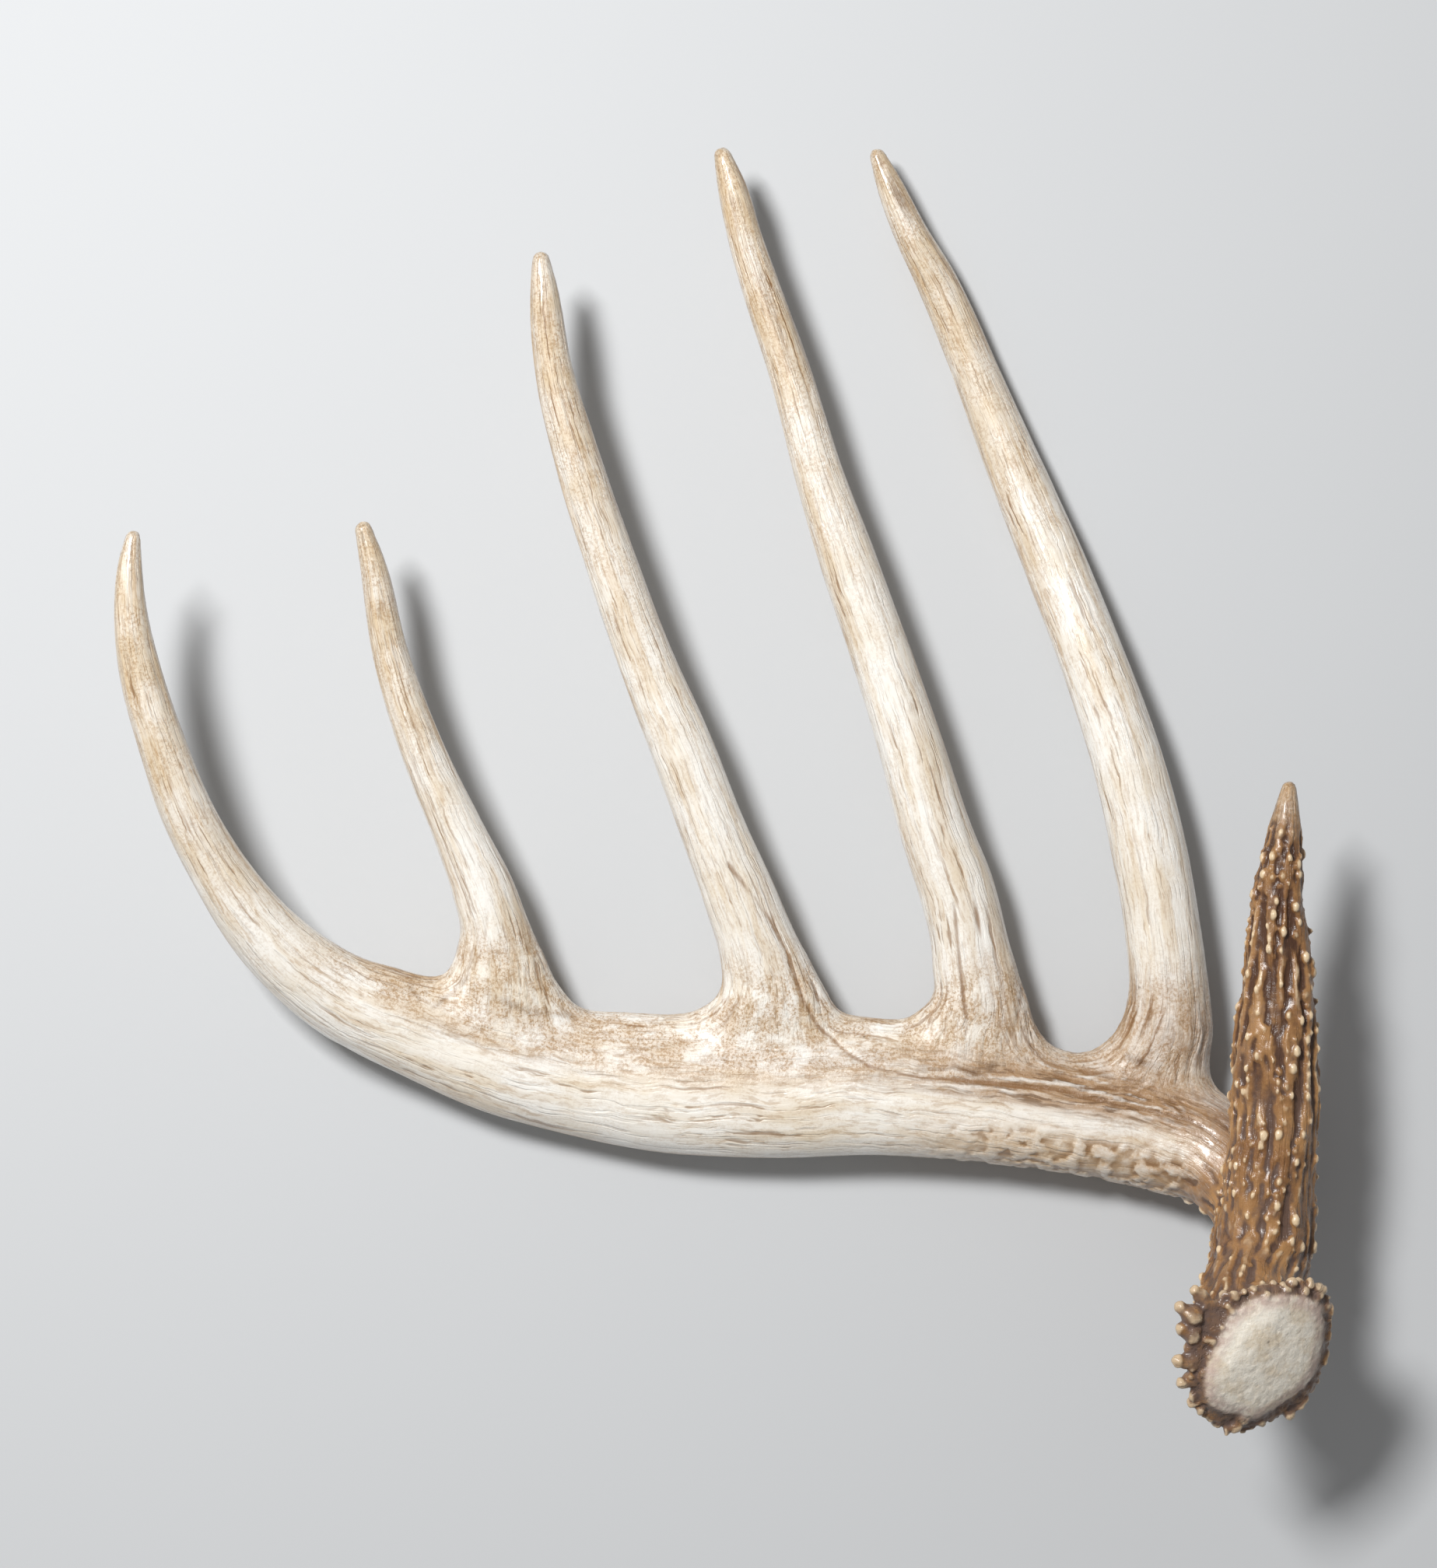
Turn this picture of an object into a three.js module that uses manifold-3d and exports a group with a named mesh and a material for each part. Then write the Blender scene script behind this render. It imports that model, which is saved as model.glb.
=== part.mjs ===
// A shed antler of a white-tailed deer, six points on one side, lying on its outer side.
// Millimetres, +Z up. The beam runs along X, the tines point along +Y, and the surface it lies on is Z = 0.
// The antler grew as one bone. It is divided at its main forks: the beam with its burr, and five tines.

import * as THREE from "three";
import { mergeVertices } from "three/addons/utils/BufferGeometryUtils.js";
import Module from "manifold-3d";

const wasm = await Module();
wasm.setup();

// Driving dimensions.
// The stations are measured from a point this far from the bottom centre of the antler's box.
const TO_BOX_CENTRE = [-1.5, -2, 1];

// A station along a branch is x, y, z of its axis, half its width, half its depth, and how much
// thinner the section gets towards its tine side, as a share of the depth.
const MAIN_BEAM = [
  [175, -184.5, 86, 19, 17.5, 0],
  [178.5, -174.5, 70, 17.5, 16.5, 0],
  [184.5, -161, 50, 17, 16, 0],
  [186, -147.5, 35, 15.8, 16, 0],
  [176.5, -131.5, 23.5, 18.4, 16.5, 0.08],
  [152, -120.5, 16.3, 21.6, 16.3, 0.18],
  [126.5, -116, 16.3, 21, 16.3, 0.2],
  [87.5, -110, 16.5, 22.4, 16, 0.2],
  [55, -106.5, 16.5, 24.4, 15.8, 0.2],
  [18.5, -106.7, 15.8, 25, 15.8, 0.2],
  [-18, -105.3, 15, 24.4, 15.6, 0.18],
  [-47.5, -101.7, 15, 22, 15.2, 0.15],
  [-74.5, -95.6, 17, 20.4, 15, 0.1],
  [-98.5, -86.8, 20, 18.3, 14.5, 0.05],
  [-130, -73.5, 26, 14.5, 13, 0],
  [-151, -55.6, 33, 12.2, 12, 0],
  [-169.5, -29, 41.5, 9.7, 10.5, 0],
  [-177.5, -13, 46, 9, 9.5, 0],
  [-185.7, 10.6, 51, 8, 8.5, 0],
  [-192.3, 34, 55, 7.2, 7.5, 0],
  [-195.7, 57.6, 58, 5.5, 5.8, 0],
  [-195.2, 74, 59.5, 3.7, 3.7, 0],
  [-194.2, 81, 60, 2.5, 2.5, 0],
];
const BROW_TINE = [
  [180, -170, 56, 12, 12, 0],
  [185.4, -157, 56, 16.2, 14, 0],
  [187, -138.6, 56.5, 15, 13.5, 0],
  [188.8, -115, 57.5, 14.5, 12.5, 0],
  [188.8, -91.4, 58.5, 13.8, 12, 0],
  [189.4, -68, 59.5, 11.3, 10.5, 0],
  [189.7, -44.3, 60.5, 8.8, 8.6, 0],
  [191.3, -21, 61.5, 5.8, 6, 0],
  [192.5, -7.7, 62, 3.6, 3.8, 0],
  [193, -3, 62, 2.4, 2.5, 0],
];
const SECOND_TINE = [
  [151, -104, 16.5, 29, 11, 0],
  [154.5, -94.3, 17, 20, 12, 0],
  [157.5, -86.3, 17.5, 16, 12.4, 0],
  [158, -78, 18, 14.4, 12.2, 0],
  [156, -53.7, 18.5, 13.2, 12, 0],
  [150.4, -21.4, 18.5, 13, 11.8, 0],
  [142.2, 10.9, 17.5, 12.2, 11.4, 0],
  [131.1, 43.3, 15, 11.3, 10.8, 0],
  [118.6, 75.8, 11, 10.7, 10.3, 0],
  [105.2, 108.5, 8.6, 9.6, 9.6, 0],
  [92.1, 141.1, 8, 8, 8.2, 0],
  [78, 173.5, 9, 6.9, 7, 0],
  [69.1, 189.6, 11, 5.8, 6, 0],
  [61.7, 206, 12, 4.6, 4.6, 0],
  [57.3, 216.4, 13, 2.9, 2.9, 0],
];
const THIRD_TINE = [
  [86, -100, 16.5, 38, 11, 0],
  [87.5, -87, 17.5, 26, 11.8, 0],
  [90.5, -78, 18, 16.6, 12.2, 0],
  [89.8, -62, 18.5, 14, 12, 0],
  [84, -37.5, 20, 13, 11.6, 0],
  [78, -21.4, 21, 12.4, 11.4, 0],
  [68.3, 10.9, 23, 11.2, 10.6, 0],
  [57.9, 43.1, 24, 10.3, 9.8, 0],
  [46.6, 75.2, 25, 9.8, 9.2, 0],
  [35.9, 107.4, 25, 8.3, 8.2, 0],
  [26.7, 139.6, 25, 7.3, 7.3, 0],
  [15.7, 171.7, 25.5, 6.5, 6.6, 0],
  [10.7, 187.7, 26, 5.8, 6, 0],
  [6.6, 203.6, 27, 4.9, 4.9, 0],
  [3.4, 214.2, 27.8, 3, 3, 0],
];
const FOURTH_TINE = [
  [19, -98, 16.5, 42, 11, 0],
  [19.5, -86, 17.5, 31, 11.6, 0],
  [20, -78, 18.5, 22.6, 12, 0],
  [19, -70, 19.2, 17, 11.6, 0],
  [16.8, -62, 20, 14.6, 11.4, 0],
  [8, -37.5, 22.5, 12.4, 11, 0],
  [1.5, -21.3, 24, 11.5, 10.6, 0],
  [-10.7, 10.9, 27, 10.8, 10, 0],
  [-23.9, 42.9, 29, 9.6, 9.2, 0],
  [-35.2, 74.9, 31, 8.8, 8.6, 0],
  [-45.6, 106.7, 33, 8.1, 8, 0],
  [-54.1, 138.5, 35, 6.6, 6.6, 0],
  [-57.9, 170, 38, 4.3, 4.4, 0],
  [-58.6, 177, 38.7, 3, 3, 0],
];
const FIFTH_TINE = [
  [-65, -87, 18, 34, 11, 0],
  [-70, -72, 21, 22.5, 11.2, 0],
  [-72.5, -61, 22.5, 15.2, 11, 0],
  [-75, -53, 24, 12.4, 10.4, 0],
  [-79.5, -37, 26.5, 10.6, 9.8, 0],
  [-86.1, -21.2, 29, 9.1, 9, 0],
  [-99.7, 10.8, 33, 7.4, 7.8, 0],
  [-110.1, 42.7, 36, 6.2, 6.6, 0],
  [-116.1, 74.3, 40, 4.3, 4.4, 0],
  [-118.9, 85, 41.5, 2.9, 2.9, 0],
];

// Each tine is parted from the beam just above the web of its fork: where, how the tine leans, how wide.
const FORK_GAP = 0.3;
const FORK_DEPTH = 60;
const FORK_REACH = 400;
const FORKS = {
  brow_tine: { stations: BROW_TINE, sides: 20, steps: 26, at: [187, -124, 72], lean: 0, width: 60 },
  second_tine: { stations: SECOND_TINE, sides: 12, steps: 28, at: [157, -68, 10], lean: 20, width: 70 },
  third_tine: { stations: THIRD_TINE, sides: 12, steps: 27, at: [90, -66, 20], lean: 17.5, width: 70 },
  fourth_tine: { stations: FOURTH_TINE, sides: 12, steps: 25, at: [18, -62, 25], lean: 17.5, width: 70 },
  fifth_tine: { stations: FIFTH_TINE, sides: 12, steps: 19, at: [-76, -50, 30], lean: 18, width: 50 },
};
const BEAM_SIDES = 16;
const BEAM_STEPS = 54;
const TIP_SIDES = 8;

// The burr: the seat it was shed from, flat in its middle, inside a rim of knobs.
const SEAT_CENTRE = new THREE.Vector3(181.5, -190.5, 96.5);
const SEAT_NORMAL = new THREE.Vector3(0.42, -0.36, 0.83).normalize();
const SEAT_LONG_AXIS = new THREE.Vector3(0.5, 0.87, 0);
const SEAT_FLAT_RADIUS = 11;
const SEAT_RADIUS = 24;
const RIM_RADIUS = 29;
const BURR_DEPTH = 21;
const BURR_NARROWING = 0.88;
const BURR_SIDES = 20;

// The knobs of the rim: the angle from the seat's long axis, how far they reach, and their radius.
const LONG_KNOBS = [
  [62, 8.5, 3.1],
  [82, 6.5, 3.3],
  [112, 11, 2.7],
  [131, 8, 2.5],
  [160, 4.5, 3.4],
  [178, 4.5, 4.2],
  [196, 3.5, 3.2],
];
const RIM_BEADS = 18;

// Beads of bone on the brow tine and on the beam near the burr, clear of where the tine is parted.
const BROW_BEADS = 48;
const BROW_BEAD_RADIUS = 3;
const BROW_PARTED_SHARE = 0.275;
const BEAM_BEADS = 22;
const BEAM_BEAD_RADIUS = 2.6;
const BEAM_BEADED_SHARE = 0.3;
const BEAD_CLEARANCE = 0.05;

// Ridges along the brow tine, as a share of its radius.
const BROW_RIDGES = 7;
const BROW_RIDGE_SHARE = 0.055;

const BONE = new THREE.MeshStandardMaterial({ color: 0xd9c9ae, roughness: 0.45, metalness: 0 });
const BARK = new THREE.MeshStandardMaterial({ color: 0x8a6743, roughness: 0.55, metalness: 0 });

// A repeatable stream of numbers from 0 to 1.
function randomStream(seed) {
  let state = seed;
  return () => {
    state = (state * 1664525 + 1013904223) % 4294967296;
    return state / 4294967296;
  };
}

function toSolid(geometry) {
  const bare = new THREE.BufferGeometry();
  bare.setAttribute("position", geometry.getAttribute("position"));
  bare.setIndex(geometry.getIndex());
  const merged = mergeVertices(bare, 1e-3);
  return new wasm.Manifold(
    new wasm.Mesh({
      numProp: 3,
      vertProperties: merged.attributes.position.array,
      triVerts: new Uint32Array(merged.index.array),
    }),
  );
}

function toGeometry(solid) {
  const mesh = solid.getMesh();
  const geometry = new THREE.BufferGeometry();
  geometry.setAttribute("position", new THREE.BufferAttribute(mesh.vertProperties, 3));
  geometry.setIndex(new THREE.BufferAttribute(mesh.triVerts, 1));
  geometry.computeVertexNormals();
  return geometry;
}

// A branch's axis and its sizes are two curves through the same stations.
function branchOf(stations) {
  const axis = new THREE.CatmullRomCurve3(stations.map((s) => new THREE.Vector3(s[0], s[1], s[2])));
  const size = new THREE.CatmullRomCurve3(stations.map((s) => new THREE.Vector3(s[3], s[4], s[5])));
  axis.arcLengthDivisions = 400;
  return { axis, size };
}

// The section a share of the way along a branch: centre, tangent, width and depth directions, sizes.
function sectionAt(branch, share) {
  const t = branch.axis.getUtoTmapping(share);
  const centre = branch.axis.getPoint(t);
  const tangent = branch.axis.getTangent(t);
  const across = tangent.clone().cross(new THREE.Vector3(0, 0, 1)).normalize();
  const deep = across.clone().cross(tangent).normalize();
  return { centre, tangent, across, deep, size: branch.size.getPoint(t) };
}

// A point of the skin: x and z are the cosine and sine round the section, or both 0 on the axis.
function skinPoint(section, x, z, swell = 1) {
  const thinner = 1 - section.size.z * x;
  return section.centre
    .clone()
    .addScaledVector(section.across, x * section.size.x * swell)
    .addScaledVector(section.deep, z * section.size.y * thinner * swell);
}

// A cylinder bent along the branch, with a round tip.
function branchSolid(stations, sides, steps, swellAt = () => 1) {
  const branch = branchOf(stations);
  const geometry = new THREE.CylinderGeometry(1, 1, 1, sides, steps);
  const position = geometry.getAttribute("position");
  for (let i = 0; i < position.count; i++) {
    const [x, z] = [position.getX(i), position.getZ(i)];
    const section = sectionAt(branch, position.getY(i) + 0.5);
    const swell = swellAt(Math.atan2(z, x), position.getY(i) + 0.5);
    const point = skinPoint(section, x, z, swell);
    position.setXYZ(i, point.x, point.y, point.z);
  }
  const end = sectionAt(branch, 1);
  const tip = new THREE.SphereGeometry(end.size.x, TIP_SIDES, TIP_SIDES / 2).translate(end.centre.x, end.centre.y, end.centre.z);
  return toSolid(geometry).add(toSolid(tip));
}

// Small beads on the skin between two shares of the branch's length, longer along the branch than round it.
function beads(stations, count, radius, from, to, seed, parted = -1) {
  const random = randomStream(seed);
  const branch = branchOf(stations);
  const made = [];
  for (let i = 0; i < count; i++) {
    const share = from + (to - from) * ((i + random()) / count);
    const angle = random() * 2 * Math.PI;
    const section = sectionAt(branch, share);
    const point = skinPoint(section, Math.cos(angle), Math.sin(angle), 0.97);
    const size = radius * (0.7 + 0.5 * random()) * Math.min(1, section.size.x / 9);
    if (Math.abs(share - parted) < BEAD_CLEARANCE) continue;
    const bead = new THREE.OctahedronGeometry(size, 0).scale(1, 1.5, 1);
    const turn = new THREE.Quaternion().setFromUnitVectors(new THREE.Vector3(0, 1, 0), section.tangent);
    made.push(toSolid(bead.applyQuaternion(turn).translate(point.x, point.y, point.z)));
  }
  return made;
}

// The burr's own directions: along the seat's normal, its long axis, and its short axis.
function burrAxes() {
  const long = SEAT_LONG_AXIS.clone().addScaledVector(SEAT_NORMAL, -SEAT_LONG_AXIS.dot(SEAT_NORMAL)).normalize();
  const short = SEAT_NORMAL.clone().cross(long).normalize();
  return { long, short };
}

function burrFrame() {
  const { long, short } = burrAxes();
  return new THREE.Matrix4()
    .makeBasis(long, SEAT_NORMAL, short.clone().negate())
    .setPosition(SEAT_CENTRE);
}

// A turned profile from the flat of the seat, over the rim, and back to the beam.
function burrDisc() {
  const profile = [
    [0, -BURR_DEPTH],
    [15, -BURR_DEPTH],
    [21, -17],
    [26, -14],
    [RIM_RADIUS, -10.5],
    [RIM_RADIUS - 0.8, -7],
    [26, -5],
    [SEAT_RADIUS, -4.6],
    [21, -2.6],
    [16.5, -0.8],
    [SEAT_FLAT_RADIUS, 0],
    [0, 0],
  ].map(([r, y]) => new THREE.Vector2(r, y));
  const disc = new THREE.LatheGeometry(profile, BURR_SIDES).scale(1, 1, BURR_NARROWING);
  return toSolid(disc.applyMatrix4(burrFrame()));
}

// A knob is a capsule that leaves the rim, leaning a little back from the seat.
function knob(degrees, reach, radius) {
  const angle = THREE.MathUtils.degToRad(degrees);
  const outward = new THREE.Vector3(Math.cos(angle), -0.12, -Math.sin(angle)).normalize();
  const start = new THREE.Vector3(Math.cos(angle), 0, -Math.sin(angle) * BURR_NARROWING).multiplyScalar(RIM_RADIUS - 4);
  start.y = -9.5;
  const length = reach + 4;
  const capsule = new THREE.CapsuleGeometry(radius, length, 2, 7).translate(0, length / 2 - radius, 0);
  const turn = new THREE.Quaternion().setFromUnitVectors(new THREE.Vector3(0, 1, 0), outward);
  capsule.applyQuaternion(turn).translate(start.x, start.y, start.z);
  return toSolid(capsule.applyMatrix4(burrFrame()));
}

// Low beads all round the rim, between the seat and the knobs.
function rimBeads() {
  const random = randomStream(11);
  const made = [];
  for (let i = 0; i < RIM_BEADS; i++) {
    const angle = ((i + 0.5 * random()) / RIM_BEADS) * 2 * Math.PI;
    const size = 2.3 + 1.3 * random();
    const bead = new THREE.OctahedronGeometry(size, 0).translate(
      Math.cos(angle) * (RIM_RADIUS - 1.2),
      -6.5 - 3 * random(),
      -Math.sin(angle) * (RIM_RADIUS - 1.2) * BURR_NARROWING,
    );
    made.push(toSolid(bead.applyMatrix4(burrFrame())));
  }
  return made;
}

// The brow tine's ridges run along it and wander a little round it.
function browSwell(angle, share) {
  const wander = 0.7 * Math.sin(5 * share) + 0.4 * Math.sin(17 * share);
  return 1 + BROW_RIDGE_SHARE * Math.sin(BROW_RIDGES * (angle + wander * 0.35));
}

// The box that holds one tine, from its fork on, with its foot moved back by the clearance.
function forkBox(fork, clearance) {
  const box = new THREE.BoxGeometry(fork.width, FORK_REACH, FORK_DEPTH).translate(0, FORK_REACH / 2 - clearance, 0);
  box.rotateZ(THREE.MathUtils.degToRad(fork.lean)).translate(...fork.at);
  return toSolid(box);
}

function wholeAntler() {
  const parts = [branchSolid(MAIN_BEAM, BEAM_SIDES, BEAM_STEPS), burrDisc()];
  for (const [name, fork] of Object.entries(FORKS)) {
    const swell = name === "brow_tine" ? browSwell : undefined;
    parts.push(branchSolid(fork.stations, fork.sides, fork.steps, swell));
  }
  parts.push(...LONG_KNOBS.map((k) => knob(...k)), ...rimBeads());
  parts.push(...beads(BROW_TINE, BROW_BEADS, BROW_BEAD_RADIUS, 0.12, 0.94, 5, BROW_PARTED_SHARE));
  parts.push(...beads(MAIN_BEAM, BEAM_BEADS, BEAM_BEAD_RADIUS, 0.03, BEAM_BEADED_SHARE, 8));
  return wasm.Manifold.union(parts);
}

function namedMesh(name, solid, material) {
  const mesh = new THREE.Mesh(toGeometry(solid.translate(TO_BOX_CENTRE)), material);
  mesh.name = name;
  return mesh;
}

const antler = new THREE.Group();
const whole = wholeAntler();
let beam = whole;
for (const [name, fork] of Object.entries(FORKS)) {
  antler.add(namedMesh(name, whole.intersect(forkBox(fork, 0)), name === "brow_tine" ? BARK : BONE));
  beam = beam.subtract(forkBox(fork, FORK_GAP));
}
antler.add(namedMesh("main_beam", beam, BONE));

export default antler;
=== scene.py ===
# %% [markdown]
# # A shed antler, grown in mesh code
# This lesson builds the antler of a white-tailed deer that lies on a pale table. An antler is one
# bone: a round beam, tall polished tines, and near the burr a brown skin of ridges and beads.
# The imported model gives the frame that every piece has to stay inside.

# %% Load the frame
import math
import bmesh
import bpy
import numpy as np
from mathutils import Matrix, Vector
from mathutils.kdtree import KDTree


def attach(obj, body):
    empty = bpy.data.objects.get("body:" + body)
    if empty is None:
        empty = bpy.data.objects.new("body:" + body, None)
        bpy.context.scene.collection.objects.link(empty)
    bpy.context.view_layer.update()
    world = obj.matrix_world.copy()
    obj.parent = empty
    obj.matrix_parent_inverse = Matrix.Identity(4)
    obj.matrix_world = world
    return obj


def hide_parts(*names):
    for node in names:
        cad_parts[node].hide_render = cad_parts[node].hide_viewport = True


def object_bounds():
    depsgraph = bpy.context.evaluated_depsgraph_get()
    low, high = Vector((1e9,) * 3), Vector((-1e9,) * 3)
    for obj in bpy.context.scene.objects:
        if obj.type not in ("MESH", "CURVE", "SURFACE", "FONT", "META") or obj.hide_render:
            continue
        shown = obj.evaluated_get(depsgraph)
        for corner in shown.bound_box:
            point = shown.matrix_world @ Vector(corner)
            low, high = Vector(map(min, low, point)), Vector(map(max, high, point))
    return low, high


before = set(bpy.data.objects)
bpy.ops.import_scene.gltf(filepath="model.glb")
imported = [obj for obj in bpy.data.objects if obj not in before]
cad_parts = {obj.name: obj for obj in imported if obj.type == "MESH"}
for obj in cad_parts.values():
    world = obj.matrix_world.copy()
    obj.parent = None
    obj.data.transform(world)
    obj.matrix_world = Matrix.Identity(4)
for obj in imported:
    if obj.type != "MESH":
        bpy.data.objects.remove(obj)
cad_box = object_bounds()
MM = 0.001


def link(made):
    """Puts an object into the scene."""
    bpy.context.scene.collection.objects.link(made)
    return made


print("frame nodes:", sorted(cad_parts))

# %% [markdown]
# ## The camera
# The antler lies on its outer side and the camera looks straight down on it. The camera comes
# first, because every measure below was read along its line of sight. A long lens high above
# the table keeps the tall burr from looking too large beside the low tines.

# %% Camera straight above
MM_PER_PIXEL = 0.27
FRAME_PIXELS = 2016
FRAME_HEIGHT = FRAME_PIXELS * MM_PER_PIXEL
CAMERA_DISTANCE = 1300
BEAM_HEIGHT = 17
CAMERA_X = 0.5
CAMERA_Y = -4.0
SENSOR = 36.0

camera = link(bpy.data.objects.new("camera", bpy.data.cameras.new("camera")))
camera.location = Vector((CAMERA_X, CAMERA_Y, BEAM_HEIGHT + CAMERA_DISTANCE)) * MM
camera.data.sensor_width = SENSOR
camera.data.lens = SENSOR * CAMERA_DISTANCE / FRAME_HEIGHT
bpy.context.scene.camera = camera
print("lens:", round(camera.data.lens, 2), "mm")

# %% [markdown]
# ## Stations along each branch
# A branch is a list of stations. Each gives the axis in millimetres, half the width, half the
# depth, and how much thinner the section gets towards its tine side. Reading widths off a
# picture every few centimetres is quicker, and closer to nature, than modelling by eye.

# %% Stations, in millimetres
# What every station is moved by, so that the antler is centred and rests on the table.
ORIGIN = np.array([-1.5, -2.0, 1.0])
MAIN_BEAM = [
    (175, -184.5, 86, 19, 17.5, 0),
    (178.8, -174.5, 70, 17.2, 16.5, 0),
    (185.1, -161, 50, 16.4, 16, 0),
    (186.4, -147.5, 35, 15.4, 16, 0),
    (176.5, -131.5, 23.5, 18.4, 16.5, 0.08),
    (152, -120.5, 16.3, 21.6, 16.3, 0.18),
    (126.5, -116, 16.3, 21, 16.3, 0.2),
    (87.5, -110, 16.5, 22.4, 16, 0.2),
    (55, -106.5, 16.5, 24.4, 15.8, 0.2),
    (18.5, -106.7, 15.8, 25, 15.8, 0.2),
    (-18, -105.3, 15, 24.4, 15.6, 0.18),
    (-47.5, -101.7, 15, 22, 15.2, 0.15),
    (-74.5, -95.6, 17, 20.4, 15, 0.1),
    (-98.5, -86.8, 20, 18.3, 14.5, 0.05),
    (-130, -73.5, 26, 14.5, 13, 0),
    (-151, -55.6, 33, 12.2, 12, 0),
    (-169.5, -29, 41.5, 9.7, 10.5, 0),
    (-177.5, -13, 46, 9, 9.5, 0),
    (-185.7, 10.6, 51, 8, 8.5, 0),
    (-192.3, 34, 55, 7.2, 7.5, 0),
    (-195.7, 57.6, 58, 5.5, 5.8, 0),
    (-195.2, 74, 59.5, 3.7, 3.7, 0),
    (-194.2, 81, 60, 2.5, 2.5, 0),
]
BROW_TINE = [
    (180, -170, 56, 12, 12, 0),
    (185.4, -157, 56, 16.2, 14, 0),
    (187, -138.6, 56.5, 15, 13.5, 0),
    (188.8, -115, 57.5, 14.5, 12.5, 0),
    (188.8, -91.4, 58.5, 13.8, 12, 0),
    (189.4, -68, 59.5, 11.3, 10.5, 0),
    (189.7, -44.3, 60.5, 8.8, 8.6, 0),
    (191.3, -21, 61.5, 5.8, 6, 0),
    (192.5, -7.7, 62, 3.6, 3.8, 0),
    (193, -3, 62, 2.4, 2.5, 0),
]
SECOND_TINE = [
    (152, -104, 16.5, 25, 11, 0),
    (155.4, -94.3, 17, 18, 12, 0),
    (157.5, -86.3, 17.5, 16, 12.4, 0),
    (158, -78, 18, 14.4, 12.2, 0),
    (156, -53.7, 18.5, 13.2, 12, 0),
    (150.4, -21.4, 18.5, 13, 11.8, 0),
    (142.2, 10.9, 17.5, 12.2, 11.4, 0),
    (131.1, 43.3, 15, 11.3, 10.8, 0),
    (118.6, 75.8, 11, 10.7, 10.3, 0),
    (105.2, 108.5, 8.6, 9.6, 9.6, 0),
    (92.1, 141.1, 8, 8, 8.2, 0),
    (78, 173.5, 9, 6.9, 7, 0),
    (69.1, 189.6, 11, 5.8, 6, 0),
    (61.7, 206, 12, 4.6, 4.6, 0),
    (57.3, 216.4, 13, 2.9, 2.9, 0),
]
THIRD_TINE = [
    (90, -100, 16.5, 38, 11, 0),
    (91, -87, 17.5, 25, 11.8, 0),
    (92, -78, 18, 17.5, 12.2, 0),
    (89.8, -62, 18.5, 14, 12, 0),
    (84, -37.5, 20, 13, 11.6, 0),
    (78, -21.4, 21, 12.4, 11.4, 0),
    (68.3, 10.9, 23, 11.2, 10.6, 0),
    (57.9, 43.1, 24, 10.3, 9.8, 0),
    (46.6, 75.2, 25, 9.8, 9.2, 0),
    (35.9, 107.4, 25, 8.3, 8.2, 0),
    (26.7, 139.6, 25, 7.3, 7.3, 0),
    (15.7, 171.7, 25.5, 6.5, 6.6, 0),
    (10.7, 187.7, 26, 5.8, 6, 0),
    (6.6, 203.6, 27, 4.9, 4.9, 0),
    (3.4, 214.2, 27.8, 3, 3, 0),
]
FOURTH_TINE = [
    (19, -98, 16.5, 42, 11, 0),
    (19.5, -86, 17.5, 31, 11.6, 0),
    (20, -78, 18.5, 22.6, 12, 0),
    (19, -70, 19.2, 17, 11.6, 0),
    (16.8, -62, 20, 14.6, 11.4, 0),
    (8, -37.5, 22.5, 12.4, 11, 0),
    (1.5, -21.3, 24, 11.5, 10.6, 0),
    (-10.7, 10.9, 27, 10.8, 10, 0),
    (-23.9, 42.9, 29, 9.6, 9.2, 0),
    (-35.2, 74.9, 31, 8.8, 8.6, 0),
    (-45.6, 106.7, 33, 8.1, 8, 0),
    (-54.1, 138.5, 35, 6.6, 6.6, 0),
    (-57.9, 170, 38, 4.3, 4.4, 0),
    (-58.6, 177, 38.7, 3, 3, 0),
]
FIFTH_TINE = [
    (-73, -87, 18, 32, 11, 0),
    (-74, -72, 21, 21.5, 11.2, 0),
    (-74.2, -61, 22.5, 15.4, 11, 0),
    (-75, -53, 24, 12.4, 10.4, 0),
    (-79.5, -37, 26.5, 10.6, 9.8, 0),
    (-86.1, -21.2, 29, 9.1, 9, 0),
    (-99.7, 10.8, 33, 7.4, 7.8, 0),
    (-110.1, 42.7, 36, 6.2, 6.6, 0),
    (-116.1, 74.3, 40, 4.3, 4.4, 0),
    (-118.9, 85, 41.5, 2.9, 2.9, 0),
]
STATIONS = {
    "main_beam": MAIN_BEAM,
    "brow_tine": BROW_TINE,
    "second_tine": SECOND_TINE,
    "third_tine": THIRD_TINE,
    "fourth_tine": FOURTH_TINE,
    "fifth_tine": FIFTH_TINE,
}
print("branches:", {name: len(rows) for name, rows in STATIONS.items()})

# %% [markdown]
# ## A smooth branch from its stations
# One Hermite curve runs through the positions and the sizes together. Two sets of directions go
# with it. The first, across and deep, turns the oval section. The second is carried along
# without twisting, so that grain measured in it runs straight down the branch, as bone grows.

# %% Branch rows
ROW_STEP = 0.5


def unit(rows):
    return rows / np.linalg.norm(rows, axis=-1, keepdims=True)


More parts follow.
